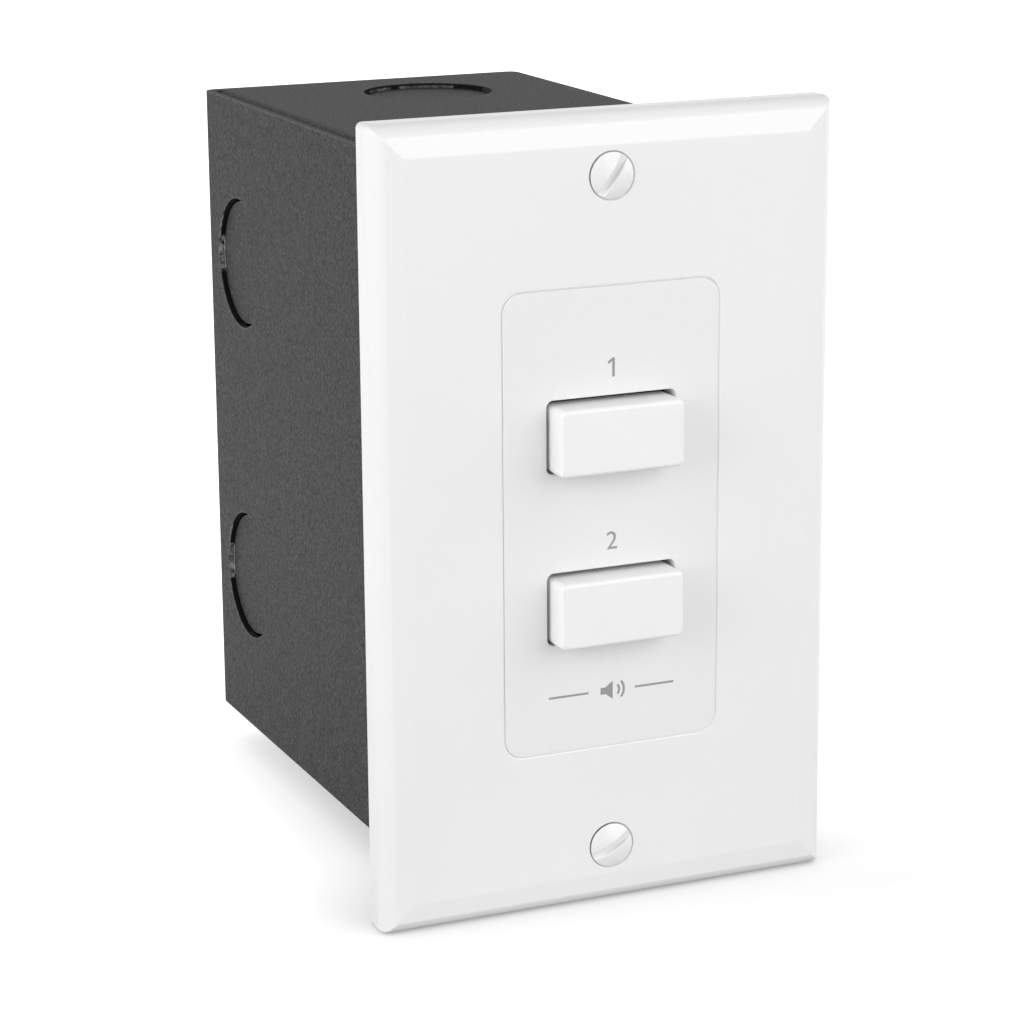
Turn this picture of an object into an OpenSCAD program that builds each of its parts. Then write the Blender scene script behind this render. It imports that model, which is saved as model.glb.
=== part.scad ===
// In-wall speaker selector switch: wall plate, bezel, two latching push buttons, screw
// terminals and a deep sheet-steel box. Millimetres. X to the right, Y into the wall,
// Z up. The origin is the centre of the wall plate on the wall's surface.

/* [Wall plate] */
// Width of the wall plate
plate_w = 69.85; // [66:0.05:90]
// Height of the wall plate
plate_h = 114.3; // [112:0.1:130]
// How far the plate's flat face stands off the wall
plate_t = 6; // [5.4:0.1:7]
// Wall thickness of the moulded plate
plate_wall = 2.2; // [1.6:0.1:2.6]
// Radius of the shoulder along the plate's edges
plate_edge_r = 3.3; // [0.8:0.1:3.6]
// Width of the sloping band along the plate's edges
plate_slope_w = 4.5; // [3:0.1:4.8]
// Angle of the sloping band from the plate's flat face
plate_slope_a = 7; // [4:0.5:8]
// Radius of the plate's four corners, seen from the front
plate_corner_r = 0.8; // [0.6:0.1:5]
// Distance from the plate's top and bottom edges to its screws
plate_screw_inset = 8.75; // [8:0.05:9.5]
// Width of the stiffening ribs behind the plate
plate_rib_t = 1.2; // [0.8:0.1:2]
// Distance between the stiffening ribs
plate_rib_pitch = 22; // [16:0.5:28]

/* [Plate opening and bezel] */
// Width of the opening in the plate
opening_w = 33.3; // [32:0.1:36]
// Distance from the strap screws to the opening in the plate
opening_step = 8.25; // [7:0.05:9]
// Corner radius of the opening
opening_r = 3; // [1.5:0.1:5]
// Gap all round between the opening and the bezel
bezel_gap = 0.2; // [0.1:0.05:0.4]
// Thickness of the bezel's front wall
bezel_wall = 2; // [1.6:0.1:2.4]
// Thickness of the bezel's side walls
bezel_side = 1.8; // [1.2:0.1:2]
// Radius along the bezel's front edges
bezel_edge_r = 0.4; // [0.2:0.05:0.8]

/* [Buttons] */
// Width of a button slot
slot_w = 19.8; // [16:0.1:22]
// Height of a button slot
slot_h = 10.5; // [9.4:0.1:12]
// Corner radius of a button slot
slot_r = 1; // [0.4:0.1:2]
// Distance between the two buttons' centres
button_pitch = 24.7; // [22:0.1:26]
// Mean gap between a button and its slot
button_gap = 0.5; // [0.2:0.05:0.9]
// How far a released button stands out of the bezel
button_out = 3.9; // [3.9:0.1:6]
// Full travel of a button
button_travel = 3.5; // [2.5:0.1:3.9]
// Gap between a fully pressed cap and its switch
stop_gap = 0.7; // [0.4:0.1:0.9]
// Thickness of a cap's front wall
cap_wall = 1.6; // [1.2:0.1:2]
// Thickness of a cap's side walls and ribs
cap_side = 1.2; // [0.8:0.1:1.5]
// Radius along a cap's front edges
cap_edge_r = 0.7; // [0.3:0.1:1.2]
// Corner radius of a cap, seen from the front
cap_corner_r = 0.8; // [0.4:0.1:1.6]

/* [Mounting strap] */
// Thickness of the strap
strap_t = 1.2; // [0.8:0.1:1.6]
// How far the strap's ends lie inside the plate's edges
strap_margin = 4.75; // [3.5:0.05:6]
// Width of the strap's two ends
strap_end_w = 24; // [18:0.5:30]
// Width of the strap's middle
strap_mid_w = 42; // [40:0.5:46]
// Height of the strap's middle
strap_mid_h = 70; // [68:0.5:72]
// Corner radius of the strap
strap_r = 2.5; // [1:0.1:4]
// Gap between the button caps and the edge of the strap's window
window_gap = 2.3; // [1:0.1:3]
// Least distance between a plate screw and the strap screw next to it
screw_step = 6.75; // [6.2:0.05:7.5]
// Length of the slots for the strap screws
strap_slot_l = 7.5; // [5:0.1:10]

/* [Screws] */
// Thread radius of the plate and strap screws
screw_r = 1.7; // [1.4:0.05:1.8]
// Overall length of a plate screw without its dome
plate_screw_l = 7.9; // [7:0.1:12]
// Head radius of a plate screw
oval_head_r = 3.5; // [3:0.05:3.8]
// Height of the countersunk cone of a plate screw's head
oval_cone_h = 1.9; // [1.5:0.1:2]
// Height of the dome of a plate screw's head
oval_dome_h = 0.9; // [0.4:0.1:1.4]
// Width of the driver slots
driver_slot_w = 1.2; // [0.8:0.1:1.4]
// Depth of the driver slots
driver_slot_d = 1.1; // [0.6:0.1:1.3]
// Angle of the upper plate screw's slot from level
top_slot_angle = 55; // [0:1:180]
// Angle of the lower plate screw's slot from level
low_slot_angle = 28; // [0:1:180]
// Length under the head of a strap screw
strap_screw_l = 19; // [10:0.5:30]
// Head radius of a strap screw
pan_head_r = 3.4; // [3:0.1:3.8]
// Head height of a strap screw
pan_head_h = 2; // [1.4:0.1:2.2]
// Radial gap between a thread and its tapped hole
thread_gap = 0.05; // [0.02:0.01:0.1]
// Radial gap between a screw and a hole it passes through
pass_gap = 0.25; // [0.1:0.05:0.4]

/* [Switches] */
// Width of a switch
switch_w = 12; // [11.6:0.1:14]
// Height of a switch
switch_h = 10; // [9.6:0.1:12]
// Thickness of a switch cover's walls
switch_wall = 1.2; // [0.8:0.1:1.4]
// Thickness of a switch cover's front wall
switch_front = 1.5; // [1:0.1:2]
// Gap between the mounting strap's rear face and the switches
switch_setback = 0.8; // [0.6:0.1:1.2]
// Thickness of a switch's base
base_t = 1.6; // [1.2:0.1:2]
// Side of the plunger's square stem
stem_s = 4.2; // [3.6:0.1:4.6]
// Gap all round between the stem and the switch cover
stem_gap = 0.1; // [0.05:0.05:0.2]
// Gap all round between the plunger's carriage and what it slides in
carriage_gap = 0.3; // [0.2:0.05:0.4]
// Thickness of the switch contacts
contact_t = 0.4; // [0.3:0.05:0.5]
// Distance between neighbouring contacts
contact_pitch = 2.5; // [2.3:0.05:2.6]
// Width of a contact
contact_w = 1; // [0.8:0.05:1.2]

/* [Return springs and latch wires] */
// Radius of the spring wire
spring_wire_r = 0.2; // [0.15:0.01:0.22]
// Radius of a spring, at the middle of its wire
spring_r = 1.25; // [1.1:0.01:1.3]
// Number of curls in a spring
spring_curls = 8; // [5:1:9]
// Depth of the spring's bore in the carriage
spring_bore_d = 4.4; // [3:0.1:5]
// Radius of the latch wire
latch_wire_r = 0.25; // [0.2:0.01:0.3]
// Width of the latch groove in the carriage
latch_groove_w = 1.6; // [1.4:0.1:2]
// Depth of the latch groove
latch_groove_d = 1; // [0.8:0.1:1.1]

/* [Circuit board] */
// How far the board reaches past its screws at the sides
board_margin_x = 6.5; // [3.5:0.1:9]
// How far the board reaches past its screws at the top and bottom
board_margin_z = 5.5; // [3.5:0.1:7]
// Thickness of the board
board_t = 1.6; // [1:0.1:2]
// Length of the spacers between the strap and the board
spacer_l = 16; // [15.6:0.1:18]
// Outer radius of a spacer and of the bezel's posts
spacer_r = 2.75; // [2.4:0.05:2.8]
// Distance from the bezel's sides to the board screws
post_inset_x = 2.95; // [2.8:0.05:3.4]
// Distance from the bezel's top and bottom to the board screws
post_inset_z = 4.7; // [4:0.05:5.4]
// Thread radius of a board screw
board_screw_r = 1.4; // [1.1:0.05:1.5]
// Head radius of a board screw
board_head_r = 2.6; // [2.2:0.1:2.8]
// Head height of a board screw
board_head_h = 1.8; // [1.2:0.1:2.4]
// Radial gap between a pin and its hole in the board
pin_gap = 0.15; // [0.1:0.05:0.3]

/* [Screw terminals] */
// Number of poles in a terminal block
poles = 4; // [2:1:5]
// Distance between neighbouring poles
pole_pitch = 5.08; // [5:0.01:6]
// Depth of a terminal block, across the board
block_d = 8; // [7.6:0.1:8.2]
// Height of a terminal block off the board
block_h = 11; // [10:0.1:14]
// Distance from the switches' edges to the middle of the outer terminal blocks
block_step = 3.15; // [3:0.05:4]
// Radius of a wire entry
wire_r = 1.6; // [1.2:0.05:1.7]
// Height of the wire entries off the board
wire_level = 3.6; // [3:0.1:4]
// Radius of a terminal screw's head
terminal_head_r = 1.7; // [1.4:0.05:1.8]
// Thread radius of a terminal screw
terminal_screw_r = 1.15; // [0.9:0.05:1.3]
// Radius of a terminal's pin
terminal_pin_r = 0.5; // [0.4:0.05:0.6]

/* [Steel box] */
// Width of the box
box_w = 54; // [52:0.1:60]
// Height of the box
box_h = 101.6; // [92:0.1:112]
// Depth of the box behind the wall's surface
box_d = 88.9; // [72:0.1:100]
// Thickness of the sheet
sheet_t = 1.2; // [0.8:0.1:1.6]
// Outside radius of the box's bends
bend_r = 1.8; // [1.7:0.1:3]
// How far the end panels lie below the side walls' edges
end_inset = 0; // [0:0.1:1]
// Depth of the end panels' flanges along the left wall
flange_d = 9; // [6:0.5:14]
// Gap between the end panels' flanges and the left wall
flange_gap = 0.45; // [0:0.05:0.8]
// Least distance from the box's top and bottom to the strap screws in its ears
ear_inset = 9.15; // [8:0.05:10]
// Width of the ear that takes a strap screw
ear_w = 16; // [12:0.5:20]
// How far the ear reaches past its screw
ear_margin = 4.5; // [4:0.1:6]
// Depth of the tapped collar behind the ear
ear_collar_d = 2.4; // [1.5:0.1:4]
// Distance between the two fixing holes in the box's back
fixing_pitch = 60.3; // [40:0.1:80]
// Radius of the fixing holes
fixing_r = 2.5; // [2:0.1:3.5]

/* [Knockouts] */
// Radius of a knockout's hole
knockout_r = 10.15; // [8:0.05:12]
// Width of the cut round a knockout's slug
knockout_cut = 0.5; // [0.2:0.05:0.8]
// How far a slug is pushed in
knockout_sunk = 0.8; // [0.3:0.05:1]
// Width of the tie that holds a slug
knockout_tie_w = 5; // [2:0.5:8]
// Distance from the box's back to the side knockouts' centres
knockout_from_back = 15.5; // [14:0.1:20]
// Distance between the two knockouts of a side wall
knockout_pitch = 50.8; // [30:0.1:60]
// Distance from the box's back to the end knockouts' centres
end_knockout_from_back = 17.5; // [14:0.1:40]
// Distance from the box's middle to the end knockouts' centres
end_knockout_x = 4.4; // [-8:0.1:8]

/* [Hidden] */

$fn = 48;
// Cuts run this far past the faces that they open
over = 1;
// The shapes of one piece run this far into each other
joined = 0.5;

// Screws that hold the plate, and those that hold the strap, from centre to centre, and the
// opening between them. The strap screws keep clear of both the plate screws and the box.
plate_screw_pitch = plate_h - 2 * plate_screw_inset;
strap_screw_pitch = min(plate_screw_pitch - 2 * screw_step, box_h - 2 * ear_inset);
opening_h = strap_screw_pitch - 2 * opening_step;

// Levels from front to back
plate_face_y = -plate_t;
plate_inside_y = plate_face_y + plate_wall;
strap_face_y = -strap_t;
board_face_y = spacer_l;
board_back_y = board_face_y + board_t;

// Plate and bezel
rib_gap = 0.3;
collar_t = 1.5;
post_gap = 0.3;
plate_post_r = screw_step - pan_head_r - post_gap;
bezel_w = opening_w - 2 * bezel_gap;
bezel_h = opening_h - 2 * bezel_gap;
bezel_r = opening_r - bezel_gap;
bezel_inside_y = plate_face_y + bezel_wall;
bezel_guide_t = 1.2;
bezel_guide_d = 2;
post_floor = 1.3;
post_tip_gap = 0.5;
board_screw_tip_y = plate_face_y + post_floor + post_tip_gap;
board_screw_x = bezel_w - 2 * post_inset_x;
board_screw_z = bezel_h - 2 * post_inset_z;

// Buttons
cap_w = slot_w - 2 * button_gap;
cap_h = slot_h - 2 * button_gap;
// The caps rest low in their slots
slot_rise = button_gap / 2;
cap_face_y = plate_face_y - button_out;
cap_inside_y = cap_face_y + cap_wall;
cap_back_y = switch_setback - stop_gap - button_travel;
socket_t = 1.3;
socket_d = 4.5;
stem_tip_gap = 0.2;

// Strap
strap_l = plate_h - 2 * strap_margin;
window_w = cap_w + 2 * window_gap;
window_h = button_pitch + cap_h + 2 * window_gap;

// Switches
switch_front_y = switch_setback;
cavity_front_y = switch_front_y + switch_front;
cavity_w = switch_w - 2 * switch_wall;
cavity_h = switch_h - 2 * switch_wall;
base_gap = 0.1;
base_face_y = board_face_y - base_t;
pin_end_y = board_back_y + 1.6;
contact_x = cavity_w / 2 - contact_t;
clip_gap = 0.3;
clip_t = 0.5;
carriage_x = contact_x - clip_gap - clip_t;
carriage_front_y = cavity_front_y + carriage_gap;
groove_wall = 0.8;
groove_play = 0.4;
groove_l = button_travel + 2 * (latch_wire_r + groove_play);
carriage_back_y = carriage_front_y + groove_l + 2 * groove_wall;
carriage_low_z = -cavity_h / 2 + carriage_gap;
carriage_high_z = cavity_h / 2 - 2 * latch_wire_r - 2 * carriage_gap;
clip_front_y = carriage_front_y + 1.4;
clip_l = 3;
clip_side_margin = 0.3;
contact_front_y = clip_front_y - 0.4;

// Springs and latch wires
spring_z = (carriage_low_z + carriage_high_z - latch_groove_d) / 2;
spring_bore_r = spring_r + spring_wire_r + 0.3;
spring_front_y = carriage_back_y - spring_bore_d;
spring_boss_r = spring_r - spring_wire_r - 0.25;
spring_boss_l = 1.4;
latch_z = carriage_high_z + carriage_gap + latch_wire_r;
latch_tip_z = carriage_high_z - latch_groove_d + 0.3;
groove_front_y = carriage_front_y + groove_wall;
groove_back_y = carriage_back_y - groove_wall;
latch_tip_y = groove_back_y - groove_play - latch_wire_r;
latch_end_y = board_face_y - 0.4;

// Board
board_hole_r = board_screw_r + pass_gap;
board_r = 1.5;
board_w = board_screw_x + 2 * board_margin_x;
board_h = board_screw_z + 2 * board_margin_z;

// Terminals
block_w = poles * pole_pitch;
block_pitch = (button_pitch + switch_h) / 2 + block_step;
clamp_w = pole_pitch - 1.5;
clamp_d = block_d - 3;
clamp_h = 5.4;
clamp_gap = 0.1;
block_chamfer = 2;
terminal_pin_back_y = board_back_y + joined;
terminal_pin_front_y = board_face_y - 1.2;
terminal_head_y = board_back_y + block_h - 0.8;
terminal_head_h = 1.8;
terminal_tip_y = board_back_y + wire_level + wire_r;

// Box
side_inner_x = box_w / 2 - sheet_t;
end_face_z = box_h / 2 - end_inset;
end_depth = box_d - sheet_t;
ear_low_z = strap_screw_pitch / 2 - ear_margin;
ear_collar_r = 2 * screw_r;
notch_gap = 0.6;
notch_end_y = plate_face_y + plate_screw_l + notch_gap;
slug_r = knockout_r - knockout_cut;
knockout_y = box_d - knockout_from_back;
end_knockout_y = box_d - end_knockout_from_back;

// ---- Shared shapes ----

// Stands a flat shape drawn as X and Z up, and gives it its depth from y0 to y1
module along_y(y0, y1) {
    translate([0, y1, 0])
        rotate([90, 0, 0])
            linear_extrude(height = y1 - y0)
                children();
}

// A rod along Y
module rod_y(r, y0, y1) {
    along_y(y0, y1) circle(r);
}

// A rectangle with round corners
module round_rect(w, h, r) {
    square([w, h - 2 * r], center = true);
    square([w - 2 * r, h], center = true);
    for (sx = [-1, 1], sy = [-1, 1])
        translate([sx * (w / 2 - r), sy * (h / 2 - r)])
            circle(r);
}

// A slot with round ends along X, l long over all
module slot_shape(w, l) {
    square([l - w, w], center = true);
    for (s = [-1, 1])
        translate([s * (l - w) / 2, 0])
            circle(w / 2);
}

// A cross-section from depth y0 to y1 whose two front edges are rounded by r
module edge_profile(w, y0, y1, r) {
    translate([-w / 2, y0 + r])
        square([w, y1 - y0 - r]);
    translate([-w / 2 + r, y0])
        square([w - 2 * r, r]);
    for (s = [-1, 1])
        translate([s * (w / 2 - r), y0 + r])
            circle(r);
}

// A block with rounded corners and rounded front edges
module soft_block(w, h, y0, y1, corner_r, edge_r) {
    intersection() {
        along_y(y0, y1)
            round_rect(w, h, corner_r);
        linear_extrude(height = h, center = true)
            edge_profile(w, y0, y1, edge_r);
        rotate([0, 90, 0])
            linear_extrude(height = w, center = true)
                edge_profile(h, y0, y1, edge_r);
    }
}

// Copies at the top and the bottom, dz apart
module top_and_bottom(dz) {
    for (s = [-1, 1])
        translate([0, 0, s * dz / 2])
            children();
}

// Copies at the four board screws
module at_board_screws() {
    for (sx = [-1, 1])
        translate([sx * board_screw_x / 2, 0, 0])
            top_and_bottom(board_screw_z)
                children();
}

// The height of a button: number 1 is the upper one
function button_z(number) = (number == 1 ? 1 : -1) * button_pitch / 2;

module at_button(number) {
    translate([0, 0, button_z(number)])
        children();
}

module at_slot(number) {
    translate([0, 0, button_z(number) + slot_rise])
        children();
}

// ---- Plate, bezel, strap ----

module plate_rib(side, z) {
    inner_x = opening_w / 2 + collar_t / 2;
    outer_x = plate_w / 2 - plate_wall / 2;
    translate([side * (inner_x + outer_x) / 2, 0, z])
        along_y(plate_inside_y - joined, strap_face_y - rib_gap)
            square([outer_x - inner_x, plate_rib_t], center = true);
}

module plate_screw_hole() {
    rod_y(screw_r + pass_gap, plate_face_y - over, over);
    translate([0, plate_face_y, 0])
        rotate([-90, 0, 0])
            cylinder(r1 = oval_head_r + pass_gap, r2 = screw_r + pass_gap, h = oval_cone_h);
}

// The cuts that slope the two edges of a plate w wide, in cross-section
module slope_cuts(w) {
    low_y = plate_face_y + (plate_slope_w + over) * tan(plate_slope_a);
    for (s = [-1, 1])
        polygon([
            [s * (w / 2 - plate_slope_w), plate_face_y - over],
            [s * (w / 2 - plate_slope_w), plate_face_y],
            [s * (w / 2 + over), low_y],
            [s * (w / 2 + over), plate_face_y - over]
        ]);
}

module wall_plate() {
    recess_w = plate_w - 2 * plate_wall;
    recess_h = plate_h - 2 * plate_wall;
    color("white")
        difference() {
            union() {
                difference() {
                    soft_block(plate_w, plate_h, plate_face_y, 0, plate_corner_r, plate_edge_r);
                    linear_extrude(height = plate_h + 2 * over, center = true)
                        slope_cuts(plate_w);
                    rotate([0, 90, 0])
                        linear_extrude(height = plate_w + 2 * over, center = true)
                            slope_cuts(plate_h);
                    along_y(plate_inside_y, over)
                        round_rect(recess_w, recess_h, plate_corner_r);
                }
                along_y(plate_inside_y - joined, strap_face_y)
                    round_rect(opening_w + 2 * collar_t, opening_h + 2 * collar_t, opening_r);
                top_and_bottom(plate_screw_pitch)
                    rod_y(plate_post_r, plate_inside_y - joined, strap_face_y);
                for (side = [-1, 1], row = [-1, 0, 1])
                    plate_rib(side, row * plate_rib_pitch);
            }
            along_y(plate_face_y - over, over)
                round_rect(opening_w, opening_h, opening_r);
            top_and_bottom(plate_screw_pitch)
                plate_screw_hole();
        }
}

// A slotted oval-head screw; the head's rim lies in the plate's face
module oval_screw(angle) {
    // radius of the ball whose cap is the dome
    ball_r = (pow(oval_head_r, 2) + pow(oval_dome_h, 2)) / (2 * oval_dome_h);
    difference() {
        union() {
            translate([0, plate_face_y, 0])
                rotate([-90, 0, 0])
                    cylinder(r1 = oval_head_r, r2 = screw_r, h = oval_cone_h);
            intersection() {
                translate([0, plate_face_y - oval_dome_h + ball_r, 0])
                    sphere(ball_r);
                rod_y(oval_head_r, plate_face_y - oval_dome_h - over, plate_face_y);
            }
            rod_y(screw_r, plate_face_y, plate_face_y + plate_screw_l);
        }
        along_y(plate_face_y - oval_dome_h - over, plate_face_y - oval_dome_h + driver_slot_d)
            rotate(angle)
                square([3 * oval_head_r, driver_slot_w], center = true);
    }
}

module plate_screws() {
    color("whitesmoke") {
        translate([0, 0, plate_screw_pitch / 2])
            oval_screw(top_slot_angle);
        translate([0, 0, -plate_screw_pitch / 2])
            oval_screw(low_slot_angle);
    }
}

module button_bezel() {
    color("ghostwhite")
        difference() {
            union() {
                difference() {
                    soft_block(bezel_w, bezel_h, plate_face_y, strap_face_y, bezel_r, bezel_edge_r);
                    along_y(bezel_inside_y, over)
                        round_rect(bezel_w - 2 * bezel_side, bezel_h - 2 * bezel_side, bezel_edge_r);
                }
                for (number = [1, 2])
                    at_slot(number)
                        along_y(bezel_inside_y - joined, bezel_inside_y + bezel_guide_d)
                            square([slot_w + 2 * bezel_guide_t, slot_h + 2 * bezel_guide_t], center = true);
                at_board_screws()
                    rod_y(spacer_r, bezel_inside_y - joined, strap_face_y);
            }
            for (number = [1, 2])
                at_slot(number)
                    along_y(plate_face_y - over, over)
                        round_rect(slot_w, slot_h, slot_r);
            at_board_screws()
                rod_y(board_screw_r + thread_gap, plate_face_y + post_floor, over);
        }
}

module mounting_strap() {
    color("silver")
        difference() {
            along_y(strap_face_y, 0) {
                round_rect(strap_mid_w, strap_mid_h, strap_r);
                round_rect(strap_end_w, strap_l, strap_r);
            }
            along_y(strap_face_y - over, over)
                round_rect(window_w, window_h, strap_r);
            top_and_bottom(strap_screw_pitch)
                along_y(strap_face_y - over, over)
                    slot_shape(2 * (screw_r + pass_gap), strap_slot_l);
            top_and_bottom(plate_screw_pitch)
                rod_y(screw_r + thread_gap, strap_face_y - over, over);
            at_board_screws()
                rod_y(board_hole_r, strap_face_y - over, over);
        }
}

module strap_screws() {
    head_y = strap_face_y - pan_head_h;
    color("gainsboro")
        top_and_bottom(strap_screw_pitch)
            difference() {
                union() {
                    rod_y(pan_head_r, head_y, strap_face_y);
                    rod_y(screw_r, strap_face_y, strap_face_y + strap_screw_l);
                }
                along_y(head_y - over, head_y + driver_slot_d)
                    square([3 * pan_head_r, driver_slot_w], center = true);
            }
}

// ---- Buttons and switches ----

module button(number) {
    inner_w = cap_w - 2 * cap_side;
    inner_h = cap_h - 2 * cap_side;
    socket_back_y = cap_inside_y + socket_d;
    color("white")
        at_button(number)
            difference() {
                union() {
                    difference() {
                        soft_block(cap_w, cap_h, cap_face_y, cap_back_y, cap_corner_r, cap_edge_r);
                        along_y(cap_inside_y, cap_back_y + over)
                            square([inner_w, inner_h], center = true);
                    }
                    along_y(cap_inside_y, socket_back_y)
                        square([stem_s + 2 * socket_t, stem_s + 2 * socket_t], center = true);
                    along_y(cap_inside_y, socket_back_y)
                        square([inner_w + cap_side, cap_side], center = true);
                }
                along_y(cap_inside_y, socket_back_y + over)
                    square([stem_s, stem_s], center = true);
            }
}

module plunger(number) {
    color("dimgray")
        at_button(number)
            difference() {
                union() {
                    along_y(cap_inside_y + stem_tip_gap, carriage_front_y)
                        square([stem_s, stem_s], center = true);
                    along_y(carriage_front_y, carriage_back_y)
                        translate([-carriage_x, carriage_low_z])
                            square([2 * carriage_x, carriage_high_z - carriage_low_z]);
                }
                translate([0, 0, spring_z])
                    rod_y(spring_bore_r, spring_front_y, carriage_back_y + over);
                along_y(groove_front_y, groove_back_y)
                    translate([-latch_groove_w / 2, carriage_high_z - latch_groove_d])
                        square([latch_groove_w, latch_groove_d + over]);
            }
}

module contact_clips(number) {
    clip_h = carriage_high_z - carriage_low_z - 2 * clip_side_margin;
    color("goldenrod")
        at_button(number)
            for (side = [-1, 1])
                along_y(clip_front_y, clip_front_y + clip_l)
                    translate([side * (carriage_x + clip_t / 2), (carriage_low_z + carriage_high_z) / 2])
                        square([clip_t, clip_h], center = true);
}

// A point on the spring's wire, t curls from its front end
function spring_point(t) = [
    spring_r * cos(360 * t),
    spring_front_y + spring_wire_r + t * spring_pitch,
    spring_z + spring_r * sin(360 * t)
];
spring_pitch = (base_face_y - spring_front_y - 2 * spring_wire_r) / spring_curls;
spring_sides = 6;
spring_rings = 8 * spring_curls;
spring_steps = [0 : 1 / 8 : spring_curls - 1];
least_step = min([for (t = spring_steps) norm(spring_point(t + 1) - spring_point(t))]);
echo(spring_least_gap_mm = least_step - 2 * spring_wire_r);

// One corner of the wire's ring at t curls
function spring_corner(t, k) =
    let (a = 360 * k / spring_sides, out = spring_wire_r * cos(a), rise = spring_wire_r * sin(a))
    spring_point(t) + [out * cos(360 * t), rise, out * sin(360 * t)];

module return_spring(number) {
    last = spring_rings * spring_sides;
    points = [
        for (i = [0 : spring_rings], k = [0 : spring_sides - 1])
            spring_corner(i / spring_rings * spring_curls, k)
    ];
    walls = [
        for (i = [0 : spring_rings - 1], k = [0 : spring_sides - 1])
            let (a = i * spring_sides, n = (k + 1) % spring_sides)
            for (face = [[a + k, a + spring_sides + k, a + n], [a + n, a + spring_sides + k, a + spring_sides + n]])
                face
    ];
    front_end = [for (k = [1 : spring_sides - 2]) [0, k, k + 1]];
    rear_end = [for (k = [1 : spring_sides - 2]) [last, last + k + 1, last + k]];
    color("silver")
        at_button(number)
            polyhedron(points, concat(walls, front_end, rear_end));
}

module latch_wire(number) {
    color("lightgray")
        at_button(number) {
            translate([0, 0, latch_z])
                rod_y(latch_wire_r, latch_tip_y, latch_end_y);
            translate([0, latch_tip_y, latch_z])
                sphere(latch_wire_r);
            translate([0, latch_tip_y, latch_tip_z])
                cylinder(r = latch_wire_r, h = latch_z - latch_tip_z);
        }
}

module switch_cover(number) {
    hole_s = stem_s + 2 * stem_gap;
    color("black")
        at_button(number)
            difference() {
                along_y(switch_front_y, board_face_y)
                    square([switch_w, switch_h], center = true);
                along_y(cavity_front_y, board_face_y + over)
                    square([cavity_w, cavity_h], center = true);
                along_y(switch_front_y - over, cavity_front_y + over)
                    square([hole_s, hole_s], center = true);
            }
}

// Copies at the six contacts of a switch
module at_contacts() {
    for (side = [-1, 1], row = [-1, 0, 1])
        translate([side * (contact_x + contact_t / 2), 0, row * contact_pitch])
            children();
}

module switch_base(number) {
    color("darkslategray")
        at_button(number)
            difference() {
                union() {
                    along_y(base_face_y, board_face_y)
                        square([cavity_w - 2 * base_gap, cavity_h - 2 * base_gap], center = true);
                    translate([0, 0, spring_z])
                        rod_y(spring_boss_r, base_face_y - spring_boss_l, base_face_y + base_t / 2);
                }
                at_contacts()
                    along_y(base_face_y - over, board_face_y + over)
                        square([contact_t, contact_w], center = true);
                translate([0, 0, latch_z])
                    rod_y(latch_wire_r + thread_gap, base_face_y - over, latch_end_y);
            }
}

module switch_pins(number) {
    color("gold")
        at_button(number)
            at_contacts()
                along_y(contact_front_y, pin_end_y)
                    square([contact_t, contact_w], center = true);
}

// ---- Circuit board ----

module circuit_board() {
    pin_hole_r = contact_w / 2 + pin_gap;
    color("darkgreen")
        difference() {
            along_y(board_face_y, board_back_y)
                round_rect(board_w, board_h, board_r);
            at_board_screws()
                rod_y(board_hole_r, board_face_y - over, board_back_y + over);
            for (number = [1, 2])
                at_button(number)
                    at_contacts()
                        rod_y(pin_hole_r, board_face_y - over, board_back_y + over);
            for (row = [-1, 0, 1])
                at_poles(row)
                    rod_y(terminal_pin_r + pin_gap, board_face_y - over, board_back_y + over);
        }
}

module board_spacers() {
    color("silver")
        at_board_screws()
            difference() {
                rod_y(spacer_r, 0, spacer_l);
                rod_y(board_hole_r, -over, spacer_l + over);
            }
}

module board_screws() {
    color("gainsboro")
        at_board_screws()
            difference() {
                union() {
                    rod_y(board_screw_r, board_screw_tip_y, board_back_y);
                    rod_y(board_head_r, board_back_y, board_back_y + board_head_h);
                }
                along_y(board_back_y + board_head_h - driver_slot_d, board_back_y + board_head_h + over)
                    square([3 * board_head_r, driver_slot_w], center = true);
            }
}

// ---- Screw terminals ----

// Copies at the poles of the terminal block in a row: 1 is the top block
module at_poles(row) {
    for (pole = [0 : poles - 1])
        translate([(pole - (poles - 1) / 2) * pole_pitch, 0, row * block_pitch])
            children();
}

// Wires enter the lower side of every block but the top one
function entry_side(row) = row == 1 ? 1 : -1;

module terminal_block(row) {
    side = entry_side(row);
    back_y = board_back_y + block_h;
    color("seagreen")
        difference() {
            translate([-block_w / 2, board_back_y, row * block_pitch - block_d / 2])
                cube([block_w, block_h, block_d]);
            // sloped edge above the wire entries
            translate([0, back_y, row * block_pitch + side * block_d / 2])
                rotate([45, 0, 0])
                    cube([block_w + 2 * over, sqrt(2) * block_chamfer, sqrt(2) * block_chamfer], center = true);
            at_poles(row) {
                along_y(board_back_y - over, board_back_y + clamp_h + clamp_gap)
                    square([clamp_w + 2 * clamp_gap, clamp_d + 2 * clamp_gap], center = true);
                rod_y(terminal_head_r + pass_gap, board_back_y, back_y + over);
                translate([0, board_back_y + wire_level, 0])
                    rotate([side > 0 ? 0 : 180, 0, 0])
                        cylinder(r = wire_r + pass_gap, h = block_d);
            }
        }
}

module terminal_clamps() {
    color("lightsteelblue")
        for (row = [-1, 0, 1])
            at_poles(row)
                union() {
                    difference() {
                        along_y(board_back_y, board_back_y + clamp_h)
                            square([clamp_w, clamp_d], center = true);
                        translate([0, board_back_y + wire_level, 0])
                            cylinder(r = wire_r, h = block_d, center = true);
                        rod_y(terminal_screw_r + thread_gap, board_back_y + wire_level, board_back_y + block_h);
                    }
                    rod_y(terminal_pin_r, terminal_pin_front_y, terminal_pin_back_y);
                }
}

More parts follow.
